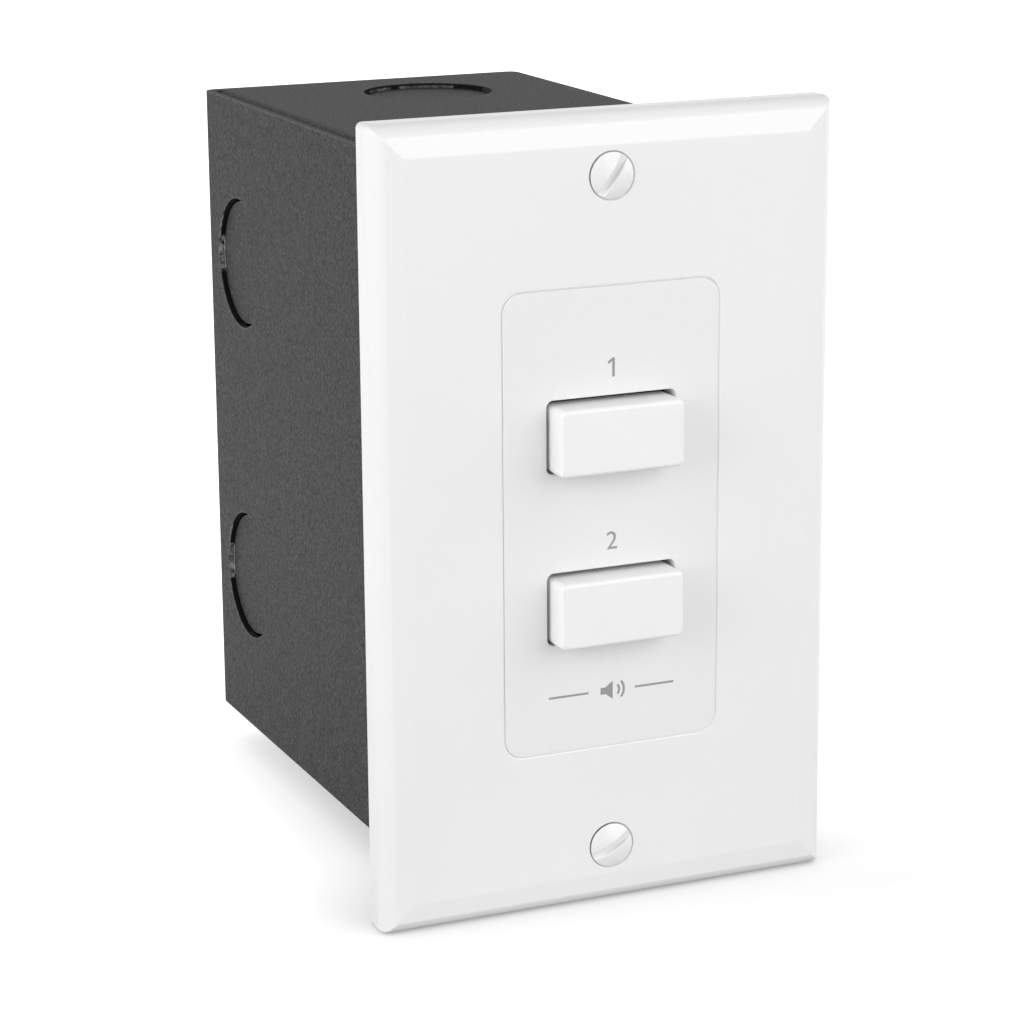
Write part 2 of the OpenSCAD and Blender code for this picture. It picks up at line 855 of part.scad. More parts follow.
module terminal_screws() {
    slot_y = terminal_head_y - driver_slot_d;
    color("gainsboro")
        for (row = [-1, 0, 1])
            at_poles(row)
                difference() {
                    union() {
                        rod_y(terminal_head_r, terminal_head_y - terminal_head_h, terminal_head_y);
                        rod_y(terminal_screw_r, terminal_tip_y, terminal_head_y - terminal_head_h);
                    }
                    along_y(slot_y, terminal_head_y + over)
                        square([3 * terminal_head_r, driver_slot_w / 2], center = true);
                }
}

// ---- Steel box ----

// Left, back and right walls seen from above, grown inwards by in
module wrap_outline(in) {
    r = bend_r - in;
    half_w = box_w / 2 - in;
    translate([-half_w, -in])
        square([2 * half_w, box_d - r]);
    translate([-half_w + r, box_d - bend_r - over])
        square([2 * (half_w - r), r + over]);
    for (s = [-1, 1])
        translate([s * (half_w - r), box_d - bend_r])
            circle(r);
}

module box_body() {
    color("dimgray")
        difference() {
            linear_extrude(height = box_h, center = true)
                difference() {
                    wrap_outline(0);
                    wrap_outline(sheet_t);
                }
            top_and_bottom(knockout_pitch)
                translate([0, knockout_y, 0])
                    rotate([0, 90, 0])
                        cylinder(r = knockout_r, h = 2 * box_w, center = true);
            top_and_bottom(fixing_pitch)
                rod_y(fixing_r, box_d - sheet_t - over, box_d + over);
        }
}

// A top panel from the front, grown inwards by in: flat across, its left side bent down
module end_outline(in) {
    r = bend_r - in;
    left = in + flange_gap - side_inner_x;
    right = in + side_inner_x;
    top = end_face_z - in;
    low = end_face_z - flange_d - in;
    translate([left, low])
        square([right - left, top - r - low]);
    translate([left + r, low])
        square([right - left - r, top - low]);
    translate([left + r, top - r])
        circle(r);
}

// A top panel: flat, with its left side bent down and an ear at the front. Its rear corners
// follow the bends of the walls, and its front edge is notched for the plate screw.
module box_end() {
    ear_h = end_face_z - ear_low_z;
    color("dimgray")
        difference() {
            union() {
                intersection() {
                    along_y(0, end_depth)
                        difference() {
                            end_outline(0);
                            end_outline(sheet_t);
                        }
                    linear_extrude(height = box_h)
                        wrap_outline(sheet_t);
                }
                along_y(0, sheet_t)
                    translate([0, ear_low_z + ear_h / 2])
                        square([ear_w, ear_h], center = true);
                translate([0, 0, strap_screw_pitch / 2])
                    rod_y(ear_collar_r, 0, sheet_t + ear_collar_d);
            }
            translate([0, 0, strap_screw_pitch / 2])
                rod_y(screw_r + thread_gap, -over, sheet_t + ear_collar_d + over);
            translate([0, 0, plate_screw_pitch / 2])
                rod_y(screw_r + notch_gap, -over, notch_end_y);
            translate([end_knockout_x, end_knockout_y, end_face_z - sheet_t - over])
                cylinder(r = knockout_r, h = sheet_t + 2 * over);
        }
}

module box_top() {
    box_end();
}

module box_bottom() {
    mirror([0, 0, 1])
        box_end();
}

// A slug that lies face up, its outer face at z = 0 before it is pushed in; the tie is at +Y
module slug() {
    translate([0, 0, -knockout_sunk - sheet_t]) {
        cylinder(r = slug_r, h = sheet_t);
        intersection() {
            cylinder(r = knockout_r, h = sheet_t);
            translate([-knockout_tie_w / 2, 0, 0])
                cube([knockout_tie_w, knockout_r, sheet_t]);
        }
    }
}

module side_knockouts() {
    color("dimgray")
        for (side = [-1, 1])
            top_and_bottom(knockout_pitch)
                translate([side * box_w / 2, knockout_y, 0])
                    rotate([0, side * 90, 0])
                        slug();
}

module end_knockouts() {
    color("dimgray")
        for (side = [0, 1])
            mirror([0, 0, side])
                translate([end_knockout_x, end_knockout_y, end_face_z])
                    slug();
}

wall_plate();
plate_screws();
button_bezel();
mounting_strap();
strap_screws();
button(1);  // button_1
plunger(1);  // plunger_1
contact_clips(1);  // contact_clips_1
return_spring(1);  // return_spring_1
latch_wire(1);  // latch_wire_1
switch_cover(1);  // switch_cover_1
switch_base(1);  // switch_base_1
switch_pins(1);  // switch_pins_1
button(2);  // button_2
plunger(2);  // plunger_2
contact_clips(2);  // contact_clips_2
return_spring(2);  // return_spring_2
latch_wire(2);  // latch_wire_2
switch_cover(2);  // switch_cover_2
switch_base(2);  // switch_base_2
switch_pins(2);  // switch_pins_2
circuit_board();
board_spacers();
board_screws();
terminal_block(0);  // terminal_block_input
terminal_block(1);  // terminal_block_1
terminal_block(-1);  // terminal_block_2
terminal_clamps();
terminal_screws();
box_body();
box_top();
box_bottom();
side_knockouts();
end_knockouts();
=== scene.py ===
"""The looks of an in-wall speaker selector: gloss wall plate, matte bezel, two push buttons,
slotted oval-head screws and a deep box in dark textured powder coat.

Metres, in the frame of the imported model: X to the right, +Y into the wall, Z up, with the
origin at the plate's centre on the wall's surface. Sizes in the code are in millimetres
and pass through MM.
"""

import math

import bmesh
import bpy
from bpy.props import (
    FloatProperty,
    FloatVectorProperty,
    IntProperty,
    PointerProperty,
)
from mathutils import Matrix, Vector
from mathutils.geometry import tessellate_polygon


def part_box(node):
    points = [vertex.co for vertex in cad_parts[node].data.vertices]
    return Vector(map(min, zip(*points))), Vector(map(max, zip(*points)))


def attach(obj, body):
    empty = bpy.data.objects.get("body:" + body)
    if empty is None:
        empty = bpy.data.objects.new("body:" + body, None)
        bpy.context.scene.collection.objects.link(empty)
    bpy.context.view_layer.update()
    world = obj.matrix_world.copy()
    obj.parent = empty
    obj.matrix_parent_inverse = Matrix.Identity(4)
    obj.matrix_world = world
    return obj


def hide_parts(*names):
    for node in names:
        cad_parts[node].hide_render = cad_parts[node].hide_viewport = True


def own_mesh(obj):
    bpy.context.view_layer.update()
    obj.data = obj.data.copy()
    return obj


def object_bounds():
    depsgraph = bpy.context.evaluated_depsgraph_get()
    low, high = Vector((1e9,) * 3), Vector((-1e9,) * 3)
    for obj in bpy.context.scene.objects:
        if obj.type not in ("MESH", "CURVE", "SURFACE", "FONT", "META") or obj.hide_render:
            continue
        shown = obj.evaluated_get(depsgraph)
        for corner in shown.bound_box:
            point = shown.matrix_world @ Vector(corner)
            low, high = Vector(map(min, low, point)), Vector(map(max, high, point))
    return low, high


bl_info = {
    "name": "Speaker selector looks",
    "version": (1, 0, 0),
    "blender": (4, 5, 0),
    "location": "3D View > Sidebar > Selector",
    "description": "Builds the visible pieces and finishes of an in-wall speaker selector",
    "category": "Object",
}

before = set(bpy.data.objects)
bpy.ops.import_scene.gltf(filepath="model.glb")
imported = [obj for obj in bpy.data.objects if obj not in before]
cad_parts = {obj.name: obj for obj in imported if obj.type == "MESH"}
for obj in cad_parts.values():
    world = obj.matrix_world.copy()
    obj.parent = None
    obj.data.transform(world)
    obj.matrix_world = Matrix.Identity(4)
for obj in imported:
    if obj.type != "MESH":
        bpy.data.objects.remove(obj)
CAD_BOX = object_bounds()

MM = 0.001
HOUSING = "housing"
BUTTONS = ((1, "upper_button"), (2, "lower_button"))

# Edges that meet at less than this are one smooth surface
SMOOTH_ANGLE = math.radians(38)


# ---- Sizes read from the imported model, in millimetres ----


def node_box(node):
    """The lowest and highest corners of a CAD node, in millimetres."""
    low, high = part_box(node)
    return low / MM, high / MM


def node_size(node):
    """The width, depth and height of a CAD node, in millimetres."""
    low, high = node_box(node)
    return high - low


PLATE_W, _, PLATE_H = node_size("wall_plate")
PLATE_FACE = node_box("wall_plate")[0].y
BEZEL_W, _, BEZEL_H = node_size("button_bezel")
BEZEL_FACE, BEZEL_BACK = (corner.y for corner in node_box("button_bezel"))
CAP_W, _, CAP_H = node_size("button_1")
CAP_FACE, CAP_BACK = (corner.y for corner in node_box("button_1"))
PLATE_SCREW_Z = node_box("plate_screws")[1].z - node_size("plate_screws").x / 2
# The photograph's screw heads, a little smaller than the model's
HEAD_R = 3.25
SHEET_T = 1.2
# Mean gap between a cap and its slot; the caps rest low by half of it
CAP_GAP = 0.5


def button_height(number):
    """The height of a button's centre, in millimetres."""
    low, high = node_box(f"button_{number}")
    return (low.z + high.z) / 2


# ---- Colours and nodes ----


def srgb(code):
    """An sRGB hex colour as linear red, green and blue."""
    shares = [int(code[i : i + 2], 16) / 255 for i in (0, 2, 4)]
    return tuple(s / 12.92 if s <= 0.04045 else ((s + 0.055) / 1.055) ** 2.4 for s in shares)


def per_mm(size):
    """A texture's scale whose features are size millimetres apart on Object coordinates."""
    return 1 / (size * MM)


def scaled(colour, factor):
    """A colour made darker or lighter by a factor."""
    return [c * factor for c in colour]


def add_node(tree, kind, inputs=(), **settings):
    """Adds a node; an input takes a value, a socket, or a node for that node's first output."""
    node = tree.nodes.new(kind)
    for name, value in settings.items():
        setattr(node, name, value)
    for name, value in dict(inputs).items():
        if isinstance(value, bpy.types.Node):
            value = value.outputs[0]
        if isinstance(value, bpy.types.NodeSocket):
            tree.links.new(value, node.inputs[name])
        else:
            node.inputs[name].default_value = value
    return node


def new_finish(name):
    """An empty material and its node tree."""
    material = bpy.data.materials.new(name)
    material.use_nodes = True
    material.node_tree.nodes.clear()
    return material, material.node_tree


def place(tree):
    """The point on the piece, in its Object coordinates."""
    return add_node(tree, "ShaderNodeTexCoord").outputs["Object"]


def grain(tree, size, detail=2.0, roughness=0.5):
    """Noise with features of size millimetres."""
    return add_node(
        tree,
        "ShaderNodeTexNoise",
        {"Vector": place(tree), "Scale": per_mm(size), "Detail": detail, "Roughness": roughness},
    )


def spread(tree, value, low, high, from_low=0.3, from_high=0.7):
    """Maps a value, a noise if nothing else is said, onto the range low to high."""
    inputs = {"Value": value, "From Min": from_low, "From Max": from_high}
    inputs.update({"To Min": low, "To Max": high})
    return add_node(tree, "ShaderNodeMapRange", inputs)


def tint(tree, value, dark, light):
    """A colour between dark and light."""
    # inputs 6 and 7 and output 2 are the node's two colours and their mix
    inputs = {"Factor": value, 6: (*dark, 1), 7: (*light, 1)}
    return add_node(tree, "ShaderNodeMix", inputs, data_type="RGBA", clamp_factor=False).outputs[2]


def relief(tree, height, depth, under=None):
    """A bump whose full height is depth millimetres, over another one if there is one."""
    inputs = {"Height": height, "Distance": depth * MM, "Strength": 1.0}
    if under is not None:
        inputs["Normal"] = under
    return add_node(tree, "ShaderNodeBump", inputs)


def surface(tree, inputs):
    """The Principled shader of a finish, joined to the material's output."""
    shader = add_node(tree, "ShaderNodeBsdfPrincipled", inputs)
    add_node(tree, "ShaderNodeOutputMaterial", {"Surface": shader})


def mottled_finish(name, constants, colours, roughness, bump=None):
    """A finish whose colour and roughness waver over the piece, with a bump if it has one.

    The constants go on the shader's sockets. Colours and roughness each have a low value,
    a high value and the size of their patches; a bump has its depth, the size of its grain
    and its detail. Sizes and depths are in millimetres.
    """
    material, tree = new_finish(name)
    dark, light, patch = colours
    low, high, streak = roughness
    inputs = {
        "Base Color": tint(tree, spread(tree, grain(tree, patch), 0, 1), dark, light),
        "Roughness": spread(tree, grain(tree, streak), low, high),
        **constants,
    }
    if bump:
        depth, size, detail = bump
        inputs["Normal"] = relief(tree, grain(tree, size, detail), depth)
    surface(tree, inputs)
    return material


# ---- Finishes ----


def moulded_gloss_abs(colour):
    """Polished ABS: clear reflections that waver slightly where the moulding sank."""
    return mottled_finish(
        "gloss_abs_moulded",
        {"IOR": 1.53},
        colours=(scaled(colour, 0.985), colour, 30),
        roughness=(0.10, 0.15, 5),
        bump=(0.012, 14, 1),
    )


def moulded_matte_abs(colour):
    """ABS from a spark-eroded mould: a fine even grain that kills the reflections."""
    # The real grit is about 0.05 mm; it is drawn at 0.2 mm, the finest that the render shows
    return mottled_finish(
        "matte_abs_spark_eroded",
        {"IOR": 1.53},
        colours=(scaled(colour, 0.97), colour, 0.3),
        roughness=(0.48, 0.6, 0.4),
        bump=(0.012, 0.2, 3),
    )


def moulded_satin_abs(colour):
    """Satin ABS of the caps: smooth to the finger, with broad soft highlights."""
    return mottled_finish(
        "satin_abs_moulded",
        {"IOR": 1.53},
        colours=(scaled(colour, 0.985), colour, 8),
        roughness=(0.32, 0.4, 2),
        bump=(0.004, 0.6, 2),
    )


def baked_enamel(colour):
    """White baked enamel on steel: a thick glossy coat with a slight orange peel."""
    return mottled_finish(
        "baked_enamel_on_steel",
        {"IOR": 1.5},
        colours=(scaled(colour, 0.97), colour, 3),
        roughness=(0.16, 0.26, 1.5),
        bump=(0.01, 0.8, 1),
    )


def textured_powder_coat(colour, grit_mm):
    """Black powder coat on steel with a sandy grit: pale flecks painted in as highlights where
    grains catch the light, and painted highlights along the edges.
    """
    material, tree = new_finish("powder_coat_fine_texture")
    sand = grain(tree, grit_mm, 2, 0.6)
    flecks = add_node(
        tree,
        "ShaderNodeTexVoronoi",
        {"Vector": place(tree), "Scale": per_mm(grit_mm * 2.2), "Randomness": 1.0},
    )
    # painted highlight: the pale flecks stand in for grains catching the light
    fleck = spread(tree, flecks, 1, 0, 0.08, 0.3)
    mottled = spread(tree, sand, 0, 0.55, 0.32, 0.68)
    both = add_node(
        tree, "ShaderNodeMath", {0: fleck, 1: 0.35, 2: mottled}, operation="MULTIPLY_ADD"
    )
    # painted highlight: the coat's colour is lighter on the bevelled faces along the sheet's edges,
    # standing in for edges that catch the light
    edge = add_node(tree, "ShaderNodeAttribute", attribute_name="edge").outputs["Fac"]
    painted_edge_highlight = spread(tree, sand, 1.2, 2.6)
    grain_and_edge_highlight = add_node(tree, "ShaderNodeMath", {0: edge, 1: painted_edge_highlight, 2: both}, operation="MULTIPLY_ADD")
    surface(
        tree,
        {
            "Base Color": tint(tree, grain_and_edge_highlight, scaled(colour, 0.5), scaled(colour, 2.2)),
            "Roughness": spread(tree, sand, 0.62, 0.5),
            "IOR": 1.5,
            "Specular IOR Level": spread(tree, sand, 0.15, 0.25),
            "Normal": relief(tree, fleck, 0.03, under=relief(tree, sand, 0.05)),
        },
    )
    return material


def bare_steel_edge():
    """Torn bright steel where a knockout's tie was sheared: streaks of bright and dark metal, with
    painted shade on the end panels' ties.
    """
    material, tree = new_finish("sheared_steel_bare")
    torn = grain(tree, 0.9, 3, 0.7)
    # painted shade: the end panels' ties, more than 49 mm from the middle, are drawn darker
    height = add_node(tree, "ShaderNodeSeparateXYZ", {"Vector": place(tree)}).outputs["Z"]
    height = add_node(tree, "ShaderNodeMath", {0: height}, operation="ABSOLUTE")
    end_tie_shade = spread(tree, height, 1, 0.25, 48 * MM, 49 * MM)
    streaks = spread(tree, torn, 0, 1, 0.35, 0.65)
    bare = add_node(tree, "ShaderNodeMath", {0: streaks, 1: end_tie_shade}, operation="MULTIPLY")
    surface(
        tree,
        {
            "Base Color": tint(tree, bare, srgb("303030"), srgb("BEBEBC")),
            "Metallic": 1.0,
            "Roughness": spread(tree, grain(tree, 0.2), 0.45, 0.65),
            "Normal": relief(tree, torn, 0.05),
        },
    )
    return material


def painted_shade_steel_edge():
    """Painted shade on the cut edge round a slug: a nearly black, dull colour for the shaded wall
    of the hole and the gap beside it.
    """
    return mottled_finish(
        "cut_edge_painted_shade",
        {"IOR": 1.45, "Specular IOR Level": 0.2},
        colours=(srgb("030303"), srgb("0C0C0C"), 0.6),
        roughness=(0.8, 0.95, 0.3),
    )


def zinc_plated_steel():
    """Clear zinc plate on steel: cool grey with faint milky clouds."""
    return mottled_finish(
        "zinc_plated_steel",
        {"Metallic": 1.0},
        colours=(srgb("B4B6B9"), srgb("D6D8DB"), 4),
        roughness=(0.28, 0.42, 1.2),
        bump=(0.004, 0.3, 2),
    )


def drawn_spring_steel():
    """Hard-drawn spring wire: dark bright steel, its shine broken by fine drawing marks."""
    return mottled_finish(
        "spring_steel_drawn",
        {"Metallic": 1.0},
        colours=(srgb("8E9093"), srgb("B9BBBE"), 0.5),
        roughness=(0.22, 0.34, 0.2),
    )


def tinned_brass():
    """Tin on brass: pale and soft-shining, warmer where the plating is thin."""
    return mottled_finish(
        "brass_tin_plated",
        {"Metallic": 1.0},
        colours=(srgb("C9BFA6"), srgb("DEDBD2"), 1.5),
        roughness=(0.26, 0.38, 0.5),
    )


def stamped_brass():
    """Stamped brass contacts: yellow metal with faint handling marks."""
    return mottled_finish(
        "brass_stamped",
        {"Metallic": 1.0},
        colours=(srgb("C49A4A"), srgb("E2BE72"), 1.0),
        roughness=(0.2, 0.34, 0.4),
    )


def moulded_nylon():
    """Black glass-filled nylon: dull, with a dry fibre texture."""
    return mottled_finish(
        "nylon_glass_filled",
        {"IOR": 1.53},
        colours=(srgb("171717"), srgb("262626"), 0.4),
        roughness=(0.5, 0.65, 0.6),
        bump=(0.01, 0.3, 2),
    )


def moulded_acetal():
    """Dark acetal of the plungers: waxy and smooth."""
    return mottled_finish(
        "acetal_moulded",
        {"IOR": 1.48},
        colours=(srgb("36383B"), srgb("44464A"), 3),
        roughness=(0.3, 0.4, 1),
    )


def board_laminate():
    """Green solder mask over glass-epoxy: glossy, with the cloth's weave just showing."""
    material, tree = new_finish("solder_mask_on_glass_epoxy")
    threads = {"Vector": place(tree), "Scale": per_mm(8), "Distortion": 0.2}
    weave = {
        i: add_node(tree, "ShaderNodeTexWave", threads, bands_direction=way).outputs["Fac"]
        for i, way in enumerate("XZ")
    }
    cloth = add_node(tree, "ShaderNodeMath", weave, operation="MULTIPLY")
    surface(
        tree,
        {
            "Base Color": tint(tree, cloth, srgb("12603A"), srgb("1A7447")),
            "Roughness": spread(tree, grain(tree, 2), 0.2, 0.3),
            "IOR": 1.52,
            "Normal": relief(tree, cloth, 0.004),
        },
    )
    return material


def moulded_terminal_plastic():
    """Green polyamide of the terminal blocks: semi-matte."""
    return mottled_finish(
        "polyamide_green_moulded",
        {"IOR": 1.53},
        colours=(srgb("2F7F52"), srgb("3A8F60"), 2),
        roughness=(0.38, 0.48, 0.8),
        bump=(0.006, 0.4, 2),
    )


def pad_printing_ink(colour):
    """Grey pad-printing ink: a thin matte film, slightly uneven in strength."""
    return mottled_finish(
        "pad_printing_ink",
        {"IOR": 1.5},
        colours=(scaled(colour, 0.92), colour, 0.5),
        roughness=(0.5, 0.6, 0.3),
    )


# ---- Meshes ----


def rounded_outline(w, h, r, y, centre_z=0.0, steps=8):
    """An upright rounded rectangle at depth y, anticlockwise from the front."""
    points = []
    for sx, sz, start in ((1, 1, 0), (-1, 1, 90), (-1, -1, 180), (1, -1, 270)):
        x, z = sx * (w / 2 - r), sz * (h / 2 - r)
        for k in range(steps + 1):
            a = math.radians(start + 90 * k / steps)
            points.append((x + r * math.cos(a), y, z + r * math.sin(a) + centre_z))
    return points


def circle_outline(r, y, centre_z=0.0, centre_x=0.0, steps=48):
    """An upright circle at depth y, anticlockwise from the front."""
    angles = [2 * math.pi * k / steps for k in range(steps)]
    return [(centre_x + r * math.cos(a), y, centre_z + r * math.sin(a)) for a in angles]


def add_loop(bm, points):
    """The vertices of a closed outline given in millimetres."""
    return [bm.verts.new(Vector(p) * MM) for p in points]


def bridge(bm, loops):
    """Joins closed loops of as many points each by quads."""
    for a, b in zip(loops, loops[1:]):
        n = len(a)
        for i in range(n):
            bm.faces.new((a[i], b[i], b[(i + 1) % n], a[(i + 1) % n]))


def fill(bm, loops):
    """Fills the flat upright area between an outline and the holes in it."""
    corners = [v for loop in loops for v in loop]
    flat = [[Vector((v.co.x, v.co.z, 0)) / MM for v in loop] for loop in loops]
    for triangle in tessellate_polygon(flat):
        bm.faces.new([corners[i] for i in triangle])


def add_block(bm, low, high):
    """A plain block between two corners in millimetres."""
    size = Vector(high) - Vector(low)
    middle = (Vector(high) + Vector(low)) / 2
    matrix = Matrix.Translation(middle * MM) @ Matrix.Diagonal((*(size * MM), 1))
    bmesh.ops.create_cube(bm, size=1, matrix=matrix)


def edge_steps(r, steps=6):
    """Points round an edge: distance from the wall, and depth below the face."""
    angles = [math.pi / 2 * k / steps for k in range(steps + 1)]
    return [(r * (1 - math.sin(a)), r * (1 - math.cos(a))) for a in angles]


def new_object(name, data):
    """A new object in the scene."""
    obj = bpy.data.objects.new(name, data)
    bpy.context.scene.collection.objects.link(obj)
    return obj


def as_mesh(name, bm):
    """The mesh of a bmesh, which is used up."""
    mesh = bpy.data.meshes.new(name)
    bm.to_mesh(mesh)
    bm.free()
    return mesh


def finished_piece(name, bm, material, body, nodes):
    """Turns a bmesh into a piece that rides on a body and stands for CAD nodes."""
    bmesh.ops.recalc_face_normals(bm, faces=bm.faces)
    finished_mesh(name, as_mesh(name, bm), material, body, nodes)


def finished_mesh(name, mesh, material, body, nodes):
    """Gives a mesh its shading, finish, body and CAD nodes."""
    if not mesh.polygons:
        raise RuntimeError(f"{name} has no faces")
    mesh.polygons.foreach_set("use_smooth", [True] * len(mesh.polygons))
    mesh.set_sharp_from_angle(angle=SMOOTH_ANGLE)
    mesh.materials.clear()
    mesh.materials.append(material)
    # a large flat face keeps its own normal up to its soft edges
    evened = new_object(name + "_evened", mesh)
    evened.modifiers.new("normals", "WEIGHTED_NORMAL").keep_sharp = True
    piece = new_object(name, baked(evened))
    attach(piece, body)
    if nodes:
        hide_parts(*nodes)
    return piece


def baked(obj):
    """The plain mesh of an object with its modifiers applied; the object is removed."""
    bpy.context.view_layer.update()
    graph = bpy.context.evaluated_depsgraph_get()
    mesh = bpy.data.meshes.new_from_object(obj.evaluated_get(graph), depsgraph=graph)
    bpy.data.objects.remove(obj)
    return mesh


def softened_copy(node, width):
    """A CAD node's mesh, merged, with its hard edges rounded by width millimetres."""
    bm = bmesh.new()
    bm.from_mesh(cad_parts[node].data)
    bmesh.ops.remove_doubles(bm, verts=bm.verts, dist=1e-6)
    bmesh.ops.dissolve_limit(bm, angle_limit=math.radians(0.3), verts=bm.verts, edges=bm.edges)
    mesh = as_mesh(node + "_soft", bm)
    # two empty slots, so that the bevel can mark its faces by the second one
    mesh.materials.append(None)
    mesh.materials.append(None)
    obj = new_object(node + "_soft", mesh)
    bevel = obj.modifiers.new("edges", "BEVEL")
    bevel.width = width * MM
    bevel.segments = 2
    bevel.limit_method = "ANGLE"
    bevel.angle_limit = math.radians(50)
    bevel.material = 1
    mesh = baked(obj)
    # the bevel's faces, which the powder coat paints lighter as a painted highlight
    edges = mesh.attributes.new("edge", "FLOAT", "FACE")
    for face in mesh.polygons:
        edges.data[face.index].value = face.material_index
        face.material_index = 0
    return mesh


# ---- Geometry Nodes ----


def node_group(name, sockets):
    """A Geometry Nodes tree with named inputs, and those inputs' sockets inside it."""
    tree = bpy.data.node_groups.new(name, "GeometryNodeTree")
    tree.interface.new_socket("Geometry", in_out="OUTPUT", socket_type="NodeSocketGeometry")
    for label, kind in {"Geometry": "Geometry", **sockets, "Finish": "Material"}.items():
        tree.interface.new_socket(label, in_out="INPUT", socket_type="NodeSocket" + kind)
    return tree, add_node(tree, "NodeGroupInput").outputs


def end_group(tree, given, geometry):
    """Realises a tree's instances, sets their finish and joins them to its output."""
    real = add_node(tree, "GeometryNodeRealizeInstances", {"Geometry": geometry})
    finished = add_node(
        tree, "GeometryNodeSetMaterial", {"Geometry": real, "Material": given["Finish"]}
    )
    add_node(tree, "NodeGroupOutput", {"Geometry": finished})


def turned_pair(tree, piece, first, last, angles):
    """Instances of an object at two points, each turned about Y by its own angle."""
    ends = {"Count": 2, "Start Location": first, "Offset": last}
    index = add_node(tree, "GeometryNodeInputIndex")
    turns = {"Switch": index, "False": angles[0], "True": angles[1]}
    turn = add_node(tree, "GeometryNodeSwitch", turns, input_type="FLOAT")
    model = add_node(tree, "GeometryNodeObjectInfo", {"Object": piece})
    return add_node(
        tree,
        "GeometryNodeInstanceOnPoints",
        {
            "Points": add_node(tree, "GeometryNodeMeshLine", ends, mode="END_POINTS"),
            "Instance": model.outputs["Geometry"],
            "Rotation": add_node(tree, "ShaderNodeCombineXYZ", {"Y": turn}),
        },
    )


def grown(name, tree, values):
    """The mesh that a Geometry Nodes tree makes from the values of its inputs."""
    obj = new_object(name, bpy.data.meshes.new(name))
    modifier = obj.modifiers.new(name, "NODES")
    modifier.node_group = tree
    for label, value in values.items():
        modifier[tree.interface.items_tree[label].identifier] = value
    return baked(obj)


# ---- Property groups ----


def length(name, description, default):
    """A length in millimetres as a property."""
    return FloatProperty(
        name=name,
        description=description,
        default=default * MM,
        min=0.0,
        subtype="DISTANCE",
        unit="LENGTH",
    )


def angle(name, description, default):
    """An angle in degrees as a property."""
    return FloatProperty(
        name=name,
        description=description,
        default=math.radians(default),
        subtype="ANGLE",
        unit="ROTATION",
    )


def share(name, description, default):
    """A share from 0 to 1 as a property."""
    return FloatProperty(name=name, description=description, default=default, min=0.0, max=1.0)


def colour(name, description, default):
    """An sRGB hex colour as a property."""
    return FloatVectorProperty(
        name=name,
        description=description,
        default=srgb(default),
        min=0.0,
        max=1.0,
        size=3,
        subtype="COLOR",
    )


class PlateSettings(bpy.types.PropertyGroup):
    colour: colour("Colour", "Colour of the gloss plate", "EDEDED")
    edge_r: length("Shoulder radius", "Radius of the shoulder along the plate's edges", 3.3)
    slope_w: length("Slope width", "Width of the sloping band along the plate's edges", 4.5)
    slope: angle("Slope", "Angle of the sloping band from the plate's flat face", 7)
    opening_edge: length("Opening edge", "Radius along the edge of the opening", 0.1)


class BezelSettings(bpy.types.PropertyGroup):
    colour: colour("Colour", "Colour of the matte bezel", "EAEAEA")
    edge_r: length("Edge radius", "Radius along the bezel's front edges", 0.12)
    slot_edge: length("Slot edge", "Radius along the edges of the button slots", 0.2)


class ButtonSettings(bpy.types.PropertyGroup):
    colour: colour("Colour", "Colour of the push buttons", "F0F0F0")
    edge_r: length("Edge radius", "Radius along a button's front edges", 0.55)
    corner_r: length("Corner radius", "Radius of a button's corners from the front", 0.8)


class ScrewSettings(bpy.types.PropertyGroup):
    colour: colour("Colour", "Colour of the enamelled screws", "ECECEC")
    slot_w: length("Slot width", "Width of the driver slot", 1.1)
    slot_d: length("Slot depth", "Depth of the driver slot below the dome's top", 0.95)
    dome: length("Dome", "Height of the dome over the head's rim", 0.9)
    upper_angle: angle("Upper slot angle", "Angle of the upper screw's slot from level", 55)
    lower_angle: angle("Lower slot angle", "Angle of the lower screw's slot from level", 28)


class LegendSettings(bpy.types.PropertyGroup):
    colour: colour("Colour", "Colour of the printed legends", "969696")
    digit_h: length("Digit height", "Height of the printed digits", 2.7)
    sign_w: length("Sign width", "Width of the loudspeaker sign with its lines", 19.5)


class BoxSettings(bpy.types.PropertyGroup):
    colour: colour("Colour", "Colour of the powder coat", "2A2A2A")
    grit: length("Grit", "Spacing of the powder coat's grains", 0.4)
    edge: length("Sheet edge", "Rounding of the sheet's edges by the coat", 0.18)
    tie_angle: angle("Tie angle", "Half the angle of bare steel at a side knockout's tie", 17)
    tear_angle: angle("Tear angle", "Half the angle of bare steel at an end knockout", 46)


class SpringSettings(bpy.types.PropertyGroup):
    wire_r: length("Wire radius", "Radius of the spring wire", 0.2)
    spring_r: length("Spring radius", "Radius of the spring at the middle of its wire", 1.25)
    curls: IntProperty(name="Curls", description="Number of curls in a spring", default=8, min=1)


class StageSettings(bpy.types.PropertyGroup):
    floor_colour: colour("Floor colour", "Colour of the floor", "F4F4F4")
    ambient: share("Ambient", "Strength of the even light from all round", 0.34)
    ceiling: share("Ceiling", "Brightness of the ceiling's reflection against the walls", 0.35)
    overhead: share("Overhead", "How much of the ceiling's dimness counts for its light", 0.4)


# ---- Operators ----


